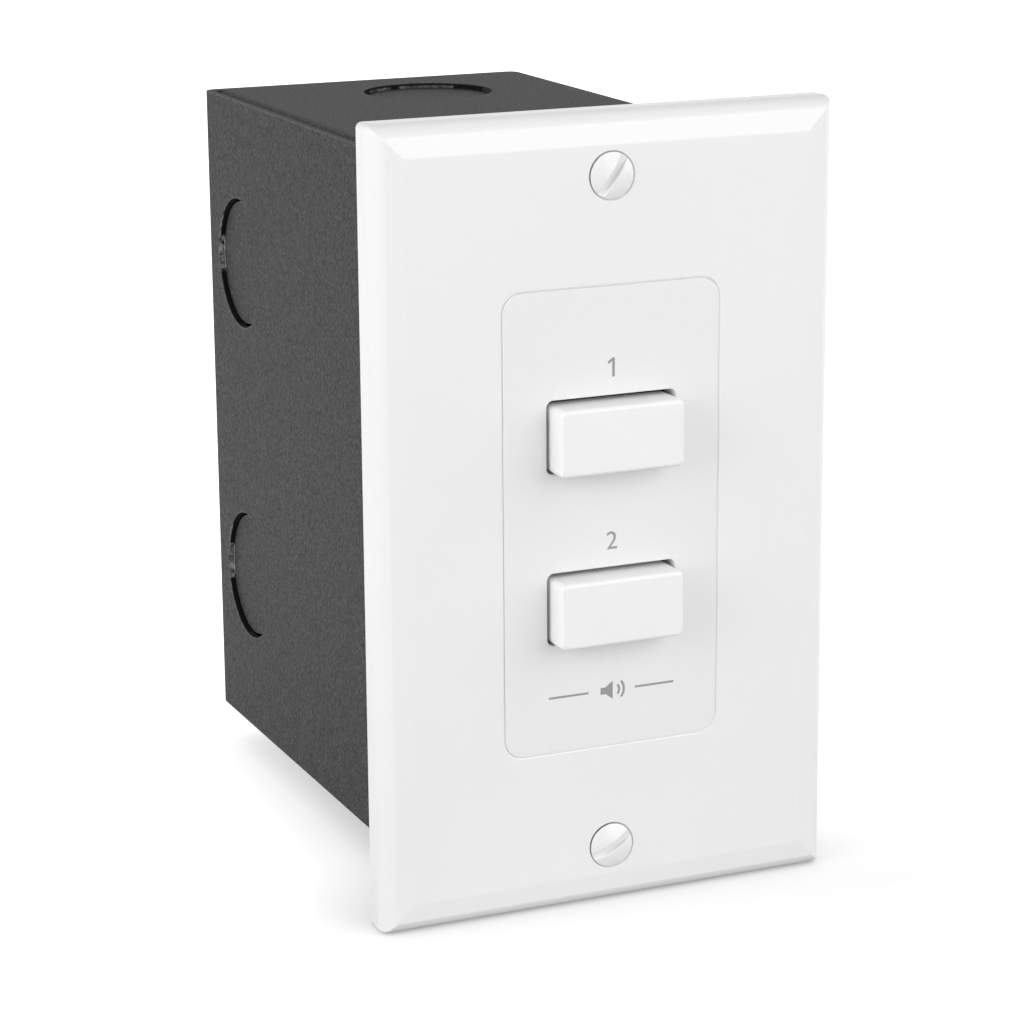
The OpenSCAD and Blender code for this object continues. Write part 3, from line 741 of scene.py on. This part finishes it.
class SELECTOR_OT_wall_plate(bpy.types.Operator):
    """Wall plate with its sloping edges, opening, countersunk holes and ribs"""

    bl_idname = "selector.wall_plate"
    bl_label = "Wall plate"

    def execute(self, context):
        settings = context.scene.selector_plate
        bm = bmesh.new()
        face, back, strap = PLATE_FACE, 0.0, BEZEL_BACK
        corner_r, wall, collar = 0.8, 2.2, 1.5
        inside = face + wall
        edge_r, slope_w = settings.edge_r / MM, settings.slope_w / MM
        fall = math.tan(settings.slope)
        hole_edge = settings.opening_edge / MM

        def outline(inset, depth):
            w, h, r = PLATE_W - 2 * inset, PLATE_H - 2 * inset, max(corner_r - inset, 0.05)
            return add_loop(bm, rounded_outline(w, h, r, face + depth))

        # the crease, where the sloping band meets the shoulder's arc
        rest = edge_r - (slope_w - edge_r) * fall
        root = math.sqrt((rest * fall) ** 2 + (1 + fall**2) * (edge_r**2 - rest**2))
        reach = (rest * fall + root) / (1 + fall**2)
        crease, start = edge_r - reach, math.asin(reach / edge_r)
        # the flat face turns softly into the band; two close rows keep the crease crisp
        blend = 0.2
        rows = [outline(slope_w + blend, 0)]
        for k in range(1, 5):
            turned = 2 * blend * k / 4
            rows.append(outline(slope_w + blend - turned, fall * turned**2 / (4 * blend)))
        for inset in (crease + 0.5, crease + 0.07, crease):
            rows.append(outline(inset, (slope_w - inset) * fall))
        for k in (0.05, 0.12, 0.2, 0.3, 0.4, 0.5, 0.6, 0.7, 0.8, 0.9, 1):
            a = start + (math.pi / 2 - start) * k
            rows.append(outline(edge_r * (1 - math.sin(a)), edge_r * (1 - math.cos(a))))
        rim = back - face
        rows += [outline(0, rim - 0.2), outline(0.06, rim - 0.06), outline(0.2, rim)]
        rows += [outline(wall - 0.15, rim), outline(wall, rim - 0.15), outline(wall, wall)]
        bridge(bm, rows)

        # opening with its collar, from the plate's face round to its inside
        gap, opening_r = 0.2, 3
        opening_w, opening_h = BEZEL_W + 2 * gap, BEZEL_H + 2 * gap

        def opening(out, r, y):
            return add_loop(bm, rounded_outline(opening_w + 2 * out, opening_h + 2 * out, r, y))

        edge = [opening(hole_edge + 0.4, opening_r + hole_edge + 0.4, face)]
        for out, depth in edge_steps(hole_edge):
            edge.append(opening(out, opening_r + out, face + depth))
        # a lip behind the edge narrows the gap round the bezel, so that it reads as a fine line
        lip = 0.17
        lip_r = opening_r - lip
        edge += [opening(0, opening_r, face + 0.13), opening(-lip, lip_r, face + 0.16)]
        edge += [opening(-lip, lip_r, strap), opening(collar, opening_r, strap)]
        edge += [opening(collar, opening_r, inside)]
        bridge(bm, edge)

        # countersunk screw holes with their posts
        hole_r, shank_r, post_r, sink = HEAD_R + 0.2, 1.95, 3.05, 1.9
        rings = [(hole_r + 0.15, face), (hole_r + 0.07, face), (hole_r, face + 0.06)]
        rings += [(shank_r, face + sink), (shank_r, strap), (post_r, strap), (post_r, inside)]
        front_holes, back_holes = [edge[0]], [edge[-1]]
        for z in (PLATE_SCREW_Z, -PLATE_SCREW_Z):
            loops = [add_loop(bm, circle_outline(r, y, z)) for r, y in rings]
            bridge(bm, loops)
            front_holes.append(loops[0])
            back_holes.append(loops[-1])
        fill(bm, [rows[0], *front_holes])
        fill(bm, [rows[-1], *back_holes])

        # stiffening ribs between the collar and the side walls
        half_rib, rib_step = 0.6, 22
        inner_x, outer_x = opening_w / 2 + collar / 2, PLATE_W / 2 - wall / 2
        for start, end in ((-outer_x, -inner_x), (inner_x, outer_x)):
            for z in (-rib_step, 0, rib_step):
                low, high = (start, inside - 0.5, z - half_rib), (end, strap - 0.3, z + half_rib)
                add_block(bm, low, high)
        finish = moulded_gloss_abs(settings.colour)
        finished_piece("plate_moulding", bm, finish, HOUSING, ["wall_plate"])
        return {"FINISHED"}


class SELECTOR_OT_bezel(bpy.types.Operator):
    """Matte bezel with two button slots, guides and screw posts"""

    bl_idname = "selector.bezel"
    bl_label = "Bezel"

    def execute(self, context):
        settings = context.scene.selector_bezel
        bm = bmesh.new()
        face, back, inside = BEZEL_FACE, BEZEL_BACK, BEZEL_FACE + 2
        side, corner_r, slot_edge = 1.8, 2.8, settings.slot_edge / MM
        slot_w, slot_h = CAP_W + 2 * CAP_GAP, CAP_H + 2 * CAP_GAP
        guide, guide_end = 1.2, inside + 2

        def outline(inset, r, y):
            return add_loop(bm, rounded_outline(BEZEL_W - 2 * inset, BEZEL_H - 2 * inset, r, y))

        rows = [outline(0.8, corner_r - 0.8, face)]
        rows += [outline(i, corner_r - i, face + d) for i, d in edge_steps(settings.edge_r / MM, 5)]
        rows += [outline(0, corner_r, back), outline(side, 0.4, back), outline(side, 0.4, inside)]
        bridge(bm, rows)

        fronts, insides = [], []
        for number, _ in BUTTONS:
            z = button_height(number) + CAP_GAP / 2

            def slot(out, r, y):
                return add_loop(bm, rounded_outline(slot_w + 2 * out, slot_h + 2 * out, r, y, z))

            loops = [slot(slot_edge + 0.3, 1.3 + slot_edge, face)]
            loops += [slot(out, 1 + out, face + d) for out, d in edge_steps(slot_edge, 5)]
            # a guide stands up round the slot, inside
            loops += [slot(0, 1, guide_end), slot(guide, 0.2, guide_end), slot(guide, 0.2, inside)]
            bridge(bm, loops)
            fronts.append(loops[0])
            insides.append(loops[-1])
        fill(bm, [rows[0], *fronts])
        fill(bm, [rows[-1], *insides])

        # screw posts, open at the back
        post_x, post_z, post_r, bore_r = 13.5, 28.5, 2.75, 1.45
        rings = [(post_r, inside - 0.4), (post_r, back), (bore_r, back), (bore_r, inside)]
        for x in (-post_x, post_x):
            for z in (-post_z, post_z):
                loops = [add_loop(bm, circle_outline(r, y, z, x, 32)) for r, y in rings]
                bridge(bm, loops)
                fill(bm, [loops[0]])
                fill(bm, [loops[-1]])
        finish = moulded_matte_abs(settings.colour)
        finished_piece("bezel_moulding", bm, finish, HOUSING, ["button_bezel"])
        return {"FINISHED"}


class SELECTOR_OT_buttons(bpy.types.Operator):
    """Two hollow push-button caps with rounded edges"""

    bl_idname = "selector.buttons"
    bl_label = "Buttons"

    def execute(self, context):
        settings = context.scene.selector_buttons
        finish = moulded_satin_abs(settings.colour)
        edge_r, corner_r = settings.edge_r / MM, settings.corner_r / MM
        wall, side, socket, stem, half_rib = 1.6, 1.2, 6.4, 4.2, 0.6
        inside = CAP_FACE + wall
        socket_end = inside + 4.5
        for number, body in BUTTONS:
            bm = bmesh.new()
            z = button_height(number)

            def outline(inset, r, y, w=CAP_W, h=CAP_H):
                return add_loop(bm, rounded_outline(w - 2 * inset, h - 2 * inset, r, y, z))

            rows = [outline(edge_r + 0.4, max(corner_r - edge_r - 0.4, 0.3), CAP_FACE)]
            for inset, depth in edge_steps(edge_r, 8):
                rows.append(outline(inset, max(corner_r - inset, 0.3), CAP_FACE + depth))
            rows += [outline(0, corner_r, CAP_BACK - 0.1), outline(0.1, corner_r - 0.1, CAP_BACK)]
            rows += [outline(side, 0.2, CAP_BACK), outline(side, 0.2, inside)]
            bridge(bm, rows)
            # the socket for the plunger's stem
            socket_rows = [
                outline(0, r, y, w, w)
                for w, r, y in (
                    (socket, 0.2, inside),
                    (socket, 0.2, socket_end),
                    (stem, 0.1, socket_end),
                    (stem, 0.1, inside),
                )
            ]
            bridge(bm, socket_rows)
            fill(bm, [rows[0]])
            fill(bm, [rows[-1], socket_rows[0]])
            fill(bm, [socket_rows[-1]])
            # ribs from the socket to the cap's ends
            inner, outer = socket / 2 - 0.5, CAP_W / 2 - side / 2
            for start, end in ((-outer, -inner), (inner, outer)):
                low, high = (start, inside - 0.3, z - half_rib), (end, socket_end, z + half_rib)
                add_block(bm, low, high)
            name, node = f"button_cap_{number}", f"button_{number}"
            finished_piece(name, bm, finish, body, [node])
        return {"FINISHED"}


def oval_screw(settings):
    """One slotted oval-head screw along Y, its rim at the origin and its slot along X."""
    radius, dome = HEAD_R, settings.dome / MM
    half, depth, soft = settings.slot_w / MM / 2, settings.slot_d / MM, 0.12
    ball = (radius**2 + dome**2) / (2 * dome)
    floor = dome - depth
    offsets = [0, 0.5 * half, half - 0.1, half - 0.01, half, half + 0.1 * soft, half + 0.3 * soft]
    offsets += [half + 0.6 * soft, half + soft]
    offsets += [half + soft + (radius - half - soft) * k / 14 for k in range(1, 15)]
    columns = [-o for o in reversed(offsets[1:])] + offsets
    rows = 24

    def level(across, along):
        top = math.sqrt(ball**2 - across**2 - along**2) - (ball - dome)
        reach = abs(across)
        if reach >= half + soft:
            return top
        if reach >= half:
            part = 1 - (reach - half) / soft
            return top - soft * (1 - math.sqrt(1 - part**2))
        return floor + (0.06 if reach > half - 0.05 else 0)

    bm = bmesh.new()
    grid = []
    for across in columns:
        reach = math.sqrt(max(radius**2 - across**2, 0))
        line = []
        for k in range(rows + 1):
            along = reach * (2 * k / rows - 1)
            line.append(bm.verts.new(Vector((along, -level(across, along), across)) * MM))
        grid.append(line)
    for a, b in zip(grid, grid[1:]):
        for k in range(rows):
            bm.faces.new((a[k], a[k + 1], b[k + 1], b[k]))
    rim = [line[-1] for line in grid] + [line[0] for line in reversed(grid)][1:-1]

    def ring(r, y):
        return [bm.verts.new((v.co.x / radius * r, y * MM, v.co.z / radius * r)) for v in rim]

    shank_r, shank_end = 1.7, 7.5
    rings = [ring(radius - 0.36, 0.4), ring(shank_r, 1.9), ring(shank_r, shank_end)]
    rings += [ring(shank_r - 0.4, shank_end + 0.4)]
    bridge(bm, [rim, *rings])
    fill(bm, [rings[-1]])
    bmesh.ops.remove_doubles(bm, verts=bm.verts, dist=1e-7)
    bmesh.ops.recalc_face_normals(bm, faces=bm.faces)
    return new_object("oval_screw", as_mesh("oval_screw", bm))


def screw_pair_tree():
    """Geometry Nodes: one screw above the other, each turned about Y by its own angle."""
    sockets = {"Screw": "Object", "Distance": "Float", "Face": "Float"}
    sockets.update({"Lower turn": "Float", "Upper turn": "Float"})
    tree, given = node_group("screw_pair", sockets)
    ends = []
    for side in (-0.5, 0.5):
        z = add_node(tree, "ShaderNodeMath", {0: given["Distance"], 1: side}, operation="MULTIPLY")
        ends.append(add_node(tree, "ShaderNodeCombineXYZ", {"Y": given["Face"], "Z": z}))
    turns = (given["Lower turn"], given["Upper turn"])
    end_group(tree, given, turned_pair(tree, given["Screw"], *ends, turns))
    return tree


class SELECTOR_OT_plate_screws(bpy.types.Operator):
    """Two enamelled oval-head screws that hold the plate"""

    bl_idname = "selector.plate_screws"
    bl_label = "Plate screws"

    def execute(self, context):
        settings = context.scene.selector_screws
        finish = baked_enamel(settings.colour)
        screw = oval_screw(settings)
        values = {
            "Screw": screw,
            "Distance": 2 * PLATE_SCREW_Z * MM,
            "Face": PLATE_FACE * MM,
            "Lower turn": -settings.lower_angle,
            "Upper turn": -settings.upper_angle,
            "Finish": finish,
        }
        mesh = grown("plate_screw_pair", screw_pair_tree(), values)
        bpy.data.objects.remove(screw)
        finished_mesh("plate_screw_pair", mesh, finish, HOUSING, ["plate_screws"])
        return {"FINISHED"}


class SELECTOR_OT_legends(bpy.types.Operator):
    """Printed digits over the buttons and a plain loudspeaker sign below them"""

    bl_idname = "selector.legends"
    bl_label = "Legends"

    def execute(self, context):
        settings = context.scene.selector_legends
        ink = pad_printing_ink(settings.colour)
        end_tie_shade = 0.015
        half_h = settings.digit_h / MM / 2
        # a digit's middle stands this far over its button, and the sign under the lower one
        digit_rise, sign_drop = 9.45, 12.65

        def slab(bm, points, centre_z):
            front, rear = [
                add_loop(bm, [(x, y, z + centre_z) for x, z in points])
                for y in (BEZEL_FACE - end_tie_shade, BEZEL_FACE + end_tie_shade)
            ]
            bridge(bm, [front, rear])
            fill(bm, [front])
            fill(bm, [rear])

        # the digit 1, with its flag
        bm = bmesh.new()
        stroke = [(0.42, -half_h), (0.42, half_h), (0.08, half_h), (-0.62, half_h - 0.5)]
        stroke += [(-0.62, half_h - 0.9), (0.04, half_h - 0.5), (0.04, -half_h)]
        slab(bm, stroke, button_height(1) + digit_rise)
        finished_piece("digit_1", bm, ink, HOUSING, [])

        # the digit 2, from the built-in font, whose digits are 0.73 of its size high
        text = bpy.data.curves.new("digit_2", "FONT")
        text.body = "2"
        text.size = 2 * half_h / 0.73
        text.align_x = "CENTER"
        text.extrude = end_tie_shade / 2
        mesh = baked(new_object("digit_2", text))
        base = (0, BEZEL_FACE - end_tie_shade / 2, button_height(2) + digit_rise - half_h)
        turn = Matrix.Rotation(math.pi / 2, 4, "X")
        mesh.transform(Matrix.Scale(MM, 4) @ Matrix.Translation(base) @ turn)
        finished_mesh("digit_2", mesh, ink, HOUSING, [])

        # the loudspeaker, its two sound waves, and a line on each side
        bm = bmesh.new()
        z = button_height(2) - sign_drop
        mouth, half_line = 0.15, 0.17
        cone = [(-1.75, -0.5), (-0.95, -0.5), (mouth, -1.35)]
        cone += [(mouth, 1.35), (-0.95, 0.5), (-1.75, 0.5)]
        slab(bm, cone, z)
        arc = [math.radians(a) for a in range(-42, 43, 6)]
        for wave_r in (1.0, 1.75):
            outer, inner = [
                [(mouth + r * math.cos(a), r * math.sin(a)) for a in arc]
                for r in (wave_r + half_line, wave_r - half_line)
            ]
            slab(bm, outer + inner[::-1], z)
        inner_x, outer_x = 3.6, settings.sign_w / MM / 2
        for start, end in ((-outer_x, -inner_x), (inner_x, outer_x)):
            slab(bm, [(start, -0.15), (end, -0.15), (end, 0.15), (start, 0.15)], z)
        finished_piece("loudspeaker_sign", bm, ink, HOUSING, [])
        return {"FINISHED"}


def rim_strips(name, strips):
    """Thin strips round a hole in a sheet that lies face up, as (start, end, radii, heights).

    The angles run from +Y, and the radii and heights are in millimetres.
    """
    bm = bmesh.new()
    steps = 16
    for start, end, (inner, outer), (low, high) in strips:
        loops = []
        for k in range(steps + 1):
            a = math.pi / 2 + start + (end - start) * k / steps
            corners = ((inner, low), (outer, low), (outer, high), (inner, high))
            loops.append(add_loop(bm, [(r * math.cos(a), r * math.sin(a), z) for r, z in corners]))
        bridge(bm, loops)
        bm.faces.new(loops[0])
        bm.faces.new(loops[-1])
    bmesh.ops.recalc_face_normals(bm, faces=bm.faces)
    return new_object(name, as_mesh(name, bm))


def knockout_tree():
    """Geometry Nodes: one piece at each of the four side knockouts, another at the two ends."""
    sockets = {"Side piece": "Object", "End piece": "Object", "Side": "Vector", "End": "Vector"}
    tree, given = node_group("at_knockouts", sockets)
    join = add_node(tree, "GeometryNodeJoinGeometry")
    # a pair in each side wall, then the pair in the end panels; the lower one is mirrored in Z
    pairs = (("Side", -1, (-90, -90)), ("Side", 1, (90, 90)), ("End", 1, (0, 180)))
    for name, across, turns in pairs:
        top = add_node(
            tree, "ShaderNodeVectorMath", {0: given[name], 1: (across, 1, 1)}, operation="MULTIPLY"
        )
        low = add_node(tree, "ShaderNodeVectorMath", {0: top, 1: (1, 1, -1)}, operation="MULTIPLY")
        turns = [math.radians(turn) for turn in turns]
        placed = turned_pair(tree, given[name + " piece"], top, low, turns)
        tree.links.new(placed.outputs["Instances"], join.inputs["Geometry"])
    end_group(tree, given, join)
    return tree


class SELECTOR_OT_box(bpy.types.Operator):
    """Bent steel box and its end panels, with the coat's soft edges"""

    bl_idname = "selector.box"
    bl_label = "Box"

    def execute(self, context):
        settings = context.scene.selector_box
        coat = textured_powder_coat(settings.colour, settings.grit / MM)
        for name, node in (
            ("box_wrap", "box_body"),
            ("box_lid", "box_top"),
            ("box_floor", "box_bottom"),
            ("side_slugs", "side_knockouts"),
            ("end_slugs", "end_knockouts"),
        ):
            mesh = softened_copy(node, settings.edge / MM)
            finished_mesh(name, mesh, coat, HOUSING, [node])

        # the walls of the knockouts' holes: bare steel at the tie, and beside it nearly black
        # painted shade
        low, high = node_box("end_knockouts")
        slug_r = (high.x - low.x) / 2
        end = Vector(((high.x + low.x) / 2, low.y + slug_r, node_box("box_top")[1].z)) * MM
        hole_r = high.y - end.y / MM
        low, high = node_box("side_knockouts")
        side = Vector((node_size("box_body").x / 2, low.y + slug_r, high.z - slug_r)) * MM
        tie, tear, far = settings.tie_angle, settings.tear_angle, math.radians(80)
        # radii of the hole's wall and of the slug's rim; heights from the sheet's outside
        wall, ledge = (hole_r - 0.12, hole_r - 0.02), (slug_r - 0.35, slug_r + 0.1)
        top, sunk, deep = -0.08, -0.8, 0.05 - SHEET_T
        torn_side = [(-tie, tie, wall, (sunk, top)), (-tie * 2.4, -tie, wall, (-0.25, top))]
        torn_side += [(-tie, tie * 0.8, ledge, (sunk, sunk + 0.04))]
        cut_side = [(-far, -tie, wall, (deep, -0.3)), (tie, far, wall, (deep, -0.25))]
        # an end knockout's tear is parted by a short cut; its ends and gaps are in radians
        nick, nick_end, hair, lower = 0.12, 0.24, 0.02, (sunk, -0.4)
        torn_end = [(-tear, nick - hair, wall, lower), (nick_end + hair, tear, wall, lower)]
        cut_end = [(-far, far, wall, (-0.38, -0.15)), (-far, -tear, wall, lower)]
        cut_end += [(nick, nick_end, wall, lower), (tear, far, wall, lower)]
        tree = knockout_tree()
        for name, side_strips, end_strips, finish in (
            ("torn_edges", torn_side, torn_end, bare_steel_edge()),
            ("cut_edges", cut_side, cut_end, painted_shade_steel_edge()),
        ):
            side_piece = rim_strips(name + "_side", side_strips)
            end_piece = rim_strips(name + "_end", end_strips)
            pieces = {"Side piece": side_piece, "End piece": end_piece}
            mesh = grown(name, tree, {**pieces, "Side": side, "End": end, "Finish": finish})
            for piece in pieces.values():
                bpy.data.objects.remove(piece)
            finished_mesh(name, mesh, finish, HOUSING, [])
        return {"FINISHED"}


def spring_tree():
    """Geometry Nodes: a round wire wound into a spring along Y."""
    sockets = {"Wire radius": "Float", "Spring radius": "Float", "Curls": "Float"}
    sockets.update({"Length": "Float", "Start": "Vector"})
    tree, given = node_group("wound_spring", sockets)
    spiral = add_node(
        tree,
        "GeometryNodeCurveSpiral",
        {
            "Resolution": 32,
            "Rotations": given["Curls"],
            "Start Radius": given["Spring radius"],
            "End Radius": given["Spring radius"],
            "Height": given["Length"],
            "Reverse": True,
        },
    )
    section = add_node(
        tree,
        "GeometryNodeCurvePrimitiveCircle",
        {"Resolution": 12, "Radius": given["Wire radius"]},
    )
    wire = add_node(
        tree,
        "GeometryNodeCurveToMesh",
        {"Curve": spiral, "Profile Curve": section, "Fill Caps": True},
    )
    laid = add_node(
        tree,
        "GeometryNodeTransform",
        {"Geometry": wire, "Rotation": (-math.pi / 2, 0, 0), "Translation": given["Start"]},
    )
    end_group(tree, given, laid)
    return tree


class SELECTOR_OT_springs(bpy.types.Operator):
    """Return springs wound from wire, one for each button"""

    bl_idname = "selector.springs"
    bl_label = "Return springs"

    def execute(self, context):
        settings = context.scene.selector_springs
        finish = drawn_spring_steel()
        tree = spring_tree()
        wire = settings.wire_r
        for number, _ in BUTTONS:
            name, node = f"wound_spring_{number}", f"return_spring_{number}"
            low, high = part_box(node)
            values = {
                "Wire radius": wire,
                "Spring radius": settings.spring_r,
                "Curls": float(settings.curls),
                "Length": high.y - low.y - 2 * wire,
                "Start": ((low.x + high.x) / 2, low.y + wire, (low.z + high.z) / 2),
                "Finish": finish,
            }
            mesh = grown(name, tree, values)
            spring = finished_mesh(name, mesh, finish, HOUSING, [node])
            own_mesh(spring)
        return {"FINISHED"}


class SELECTOR_OT_inner_parts(bpy.types.Operator):
    """Finishes of the strap, switches, board and terminals inside"""

    bl_idname = "selector.inner_parts"
    bl_label = "Inner parts"

    def execute(self, context):
        zinc, tin, brass = zinc_plated_steel(), tinned_brass(), stamped_brass()
        nylon, acetal, wire = moulded_nylon(), moulded_acetal(), drawn_spring_steel()
        finishes = {
            "mounting_strap": zinc,
            "strap_screws": zinc,
            "board_spacers": zinc,
            "board_screws": zinc,
            "terminal_screws": zinc,
            "terminal_clamps": tin,
            "circuit_board": board_laminate(),
        }
        terminal = moulded_terminal_plastic()
        for node in ("terminal_block_input", "terminal_block_1", "terminal_block_2"):
            finishes[node] = terminal
        for number, _ in BUTTONS:
            finishes[f"switch_cover_{number}"] = nylon
            finishes[f"switch_base_{number}"] = nylon
            finishes[f"plunger_{number}"] = acetal
            finishes[f"switch_pins_{number}"] = brass
            finishes[f"contact_clips_{number}"] = brass
            finishes[f"latch_wire_{number}"] = wire
        for node, finish in finishes.items():
            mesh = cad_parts[node].data
            mesh.materials.clear()
            mesh.materials.append(finish)
        return {"FINISHED"}


def soft_light(name, at, size, power):
    """A square soft light at a point in metres, turned towards the object."""
    light = bpy.data.lights.new(name, "AREA")
    light.size = size
    light.energy = power
    obj = new_object(name, light)
    obj.location = at
    obj.rotation_mode = "QUATERNION"
    obj.rotation_quaternion = (-Vector(at)).to_track_quat("-Z", "Y")


def white_to_the_eye(tree, hidden, mirrored=1.0):
    """1 for rays that see the white, straight or through glass, else hidden.

    A reflection takes it mirrored of the way from hidden to 1.
    """
    path = add_node(tree, "ShaderNodeLightPath").outputs
    seen = add_node(
        tree, "ShaderNodeMath", {0: path["Is Glossy Ray"], 1: mirrored}, operation="MULTIPLY"
    )
    for ray in ("Is Camera Ray", "Is Transmission Ray"):
        seen = add_node(tree, "ShaderNodeMath", {0: path[ray], 1: seen}, operation="MAXIMUM")
    return spread(tree, seen, hidden, 1, 0, 1)


def studio_paper(colour):
    """White paper: diffuse for the shadow, topped up to white by a glow that is kept lower near the
    object as a painted contact shadow.
    """
    material, tree = new_finish("studio_paper")
    # the paper gives back this share of its light, and a glow makes up the rest
    own = 0.6
    diffuse = add_node(tree, "ShaderNodeBsdfDiffuse", {"Color": (*scaled(colour, own), 1)})
    # more glow behind the plate and far away, where the photograph's ground is white
    where = add_node(tree, "ShaderNodeSeparateXYZ", {"Vector": place(tree)}).outputs["Y"]
    behind = spread(tree, where, 0.56, 0.92, -0.015, 0.025)
    reach = add_node(tree, "ShaderNodeVectorMath", {0: place(tree)}, operation="LENGTH")
    far = spread(tree, reach.outputs["Value"], 0, 0.3, 0.07, 0.2)
    # a painted contact shadow: less glow where something stands within 20 mm
    painted_contact_shadow = add_node(tree, "ShaderNodeAmbientOcclusion", {"Distance": 20 * MM}, samples=4)
    painted_contact_shadow = spread(tree, painted_contact_shadow.outputs["AO"], 0.35, 1, 0, 1)
    level = add_node(
        tree, "ShaderNodeMath", {0: behind, 1: painted_contact_shadow, 2: far}, operation="MULTIPLY_ADD"
    )
    seen = white_to_the_eye(tree, 0.0, 0.8)
    strength = add_node(tree, "ShaderNodeMath", {0: seen, 1: level}, operation="MULTIPLY")
    glow = add_node(tree, "ShaderNodeEmission", {"Color": (1, 1, 1, 1), "Strength": strength})
    both = add_node(tree, "ShaderNodeAddShader", {0: diffuse, 1: glow})
    add_node(tree, "ShaderNodeOutputMaterial", {"Surface": both})
    return material


def studio_world(settings):
    """Bright walls and a darker ceiling, so that what faces up isn't the brightest."""
    world = bpy.data.worlds.new("studio")
    world.use_nodes = True
    tree = world.node_tree
    tree.nodes.clear()
    direction = add_node(tree, "ShaderNodeTexCoord").outputs["Generated"]
    height = add_node(tree, "ShaderNodeSeparateXYZ", {"Vector": direction}).outputs["Z"]
    dimmed = spread(tree, height, 1, settings.ceiling, 0.2, 0.85)
    glossy = add_node(tree, "ShaderNodeLightPath").outputs["Is Glossy Ray"]
    even = spread(tree, glossy, settings.overhead, 1, 0, 1)
    dimmed = add_node(tree, "ShaderNodeMath", {0: dimmed, 1: even}, operation="POWER")
    level = white_to_the_eye(tree, settings.ambient)
    level = add_node(tree, "ShaderNodeMath", {0: level, 1: dimmed}, operation="MULTIPLY")
    sky = add_node(tree, "ShaderNodeBackground", {"Color": (1, 1, 1, 1), "Strength": level})
    add_node(tree, "ShaderNodeOutputWorld", {"Surface": sky})
    return world


def fitted_camera():
    """The photograph's camera, turned left of the front, raised and slightly rolled."""
    turn, rise, roll = math.radians(-23.42), math.radians(14.81), math.radians(-0.42)
    target, distance = Vector((-12.61, 0, 1.07)) * MM, 447.7
    level = math.cos(rise)
    back = Vector((math.sin(turn) * level, -math.cos(turn) * level, math.sin(rise)))
    right = (-back).cross(Vector((0, 0, 1))).normalized()
    up = right.cross(-back)
    across = right * math.cos(roll) + up * math.sin(roll)
    upward = up * math.cos(roll) - right * math.sin(roll)
    camera = bpy.data.cameras.new("camera")
    camera.lens, camera.sensor_width = 112.5, 36
    camera.clip_start, camera.clip_end = 0.01, 50
    obj = new_object("camera", camera)
    axes = Matrix((across, upward, back)).transposed().to_4x4()
    obj.matrix_world = Matrix.Translation(target + back * distance * MM) @ axes
    return obj


class SELECTOR_OT_stage(bpy.types.Operator):
    """Pale floor, soft studio light and the photograph's camera"""

    bl_idname = "selector.stage"
    bl_label = "Stage"

    def execute(self, context):
        settings, scene = context.scene.selector_stage, context.scene
        bm = bmesh.new()
        bmesh.ops.create_grid(bm, x_segments=1, y_segments=1, size=6)
        # just clear of the object
        bmesh.ops.translate(bm, verts=bm.verts, vec=(0, 0, CAD_BOX[0].z - 0.05 * MM))
        floor = new_object("floor", as_mesh("floor", bm))
        floor.data.materials.append(studio_paper(settings.floor_colour))
        scene.world = studio_world(settings)
        for name, at, size, power in (
            ("front_left", (-0.8, -0.95, 0.45), 1.2, 3.3),
            ("front_right", (0.95, -0.95, 0.4), 1.9, 23.8),
            ("left", (-1.2, -0.2, 0.35), 1.0, 11.6),
        ):
            soft_light(name, at, size, power)
        scene.camera = fitted_camera()
        scene.view_settings.view_transform = "Standard"
        return {"FINISHED"}


class SELECTOR_PT_panel(bpy.types.Panel):
    """Lists the selector's pieces with their sizes and colours"""

    bl_label = "Speaker selector"
    bl_idname = "SELECTOR_PT_panel"
    bl_space_type = "VIEW_3D"
    bl_region_type = "UI"
    bl_category = "Selector"

    def draw(self, context):
        for operator, settings in STEPS:
            box = self.layout.box()
            box.operator(operator.bl_idname)
            if settings:
                group = getattr(context.scene, settings[0])
                for name in settings[1].__annotations__:
                    box.prop(group, name)


STEPS = (
    (SELECTOR_OT_wall_plate, ("selector_plate", PlateSettings)),
    (SELECTOR_OT_bezel, ("selector_bezel", BezelSettings)),
    (SELECTOR_OT_buttons, ("selector_buttons", ButtonSettings)),
    (SELECTOR_OT_plate_screws, ("selector_screws", ScrewSettings)),
    (SELECTOR_OT_legends, ("selector_legends", LegendSettings)),
    (SELECTOR_OT_box, ("selector_box", BoxSettings)),
    (SELECTOR_OT_springs, ("selector_springs", SpringSettings)),
    (SELECTOR_OT_inner_parts, None),
    (SELECTOR_OT_stage, ("selector_stage", StageSettings)),
)


def register():
    """Registers the property groups, the operators and the panel."""
    for operator, settings in STEPS:
        if settings:
            bpy.utils.register_class(settings[1])
            setattr(bpy.types.Scene, settings[0], PointerProperty(type=settings[1]))
        bpy.utils.register_class(operator)
    bpy.utils.register_class(SELECTOR_PT_panel)


def unregister():
    """Takes back what register() added."""
    bpy.utils.unregister_class(SELECTOR_PT_panel)
    for operator, settings in reversed(STEPS):
        bpy.utils.unregister_class(operator)
        if settings:
            delattr(bpy.types.Scene, settings[0])
            bpy.utils.unregister_class(settings[1])


def main():
    """Builds every piece in order."""
    register()
    for operator, _ in STEPS:
        group, name = operator.bl_idname.split(".")
        getattr(getattr(bpy.ops, group), name)()


if __name__ == "__main__":
    main()
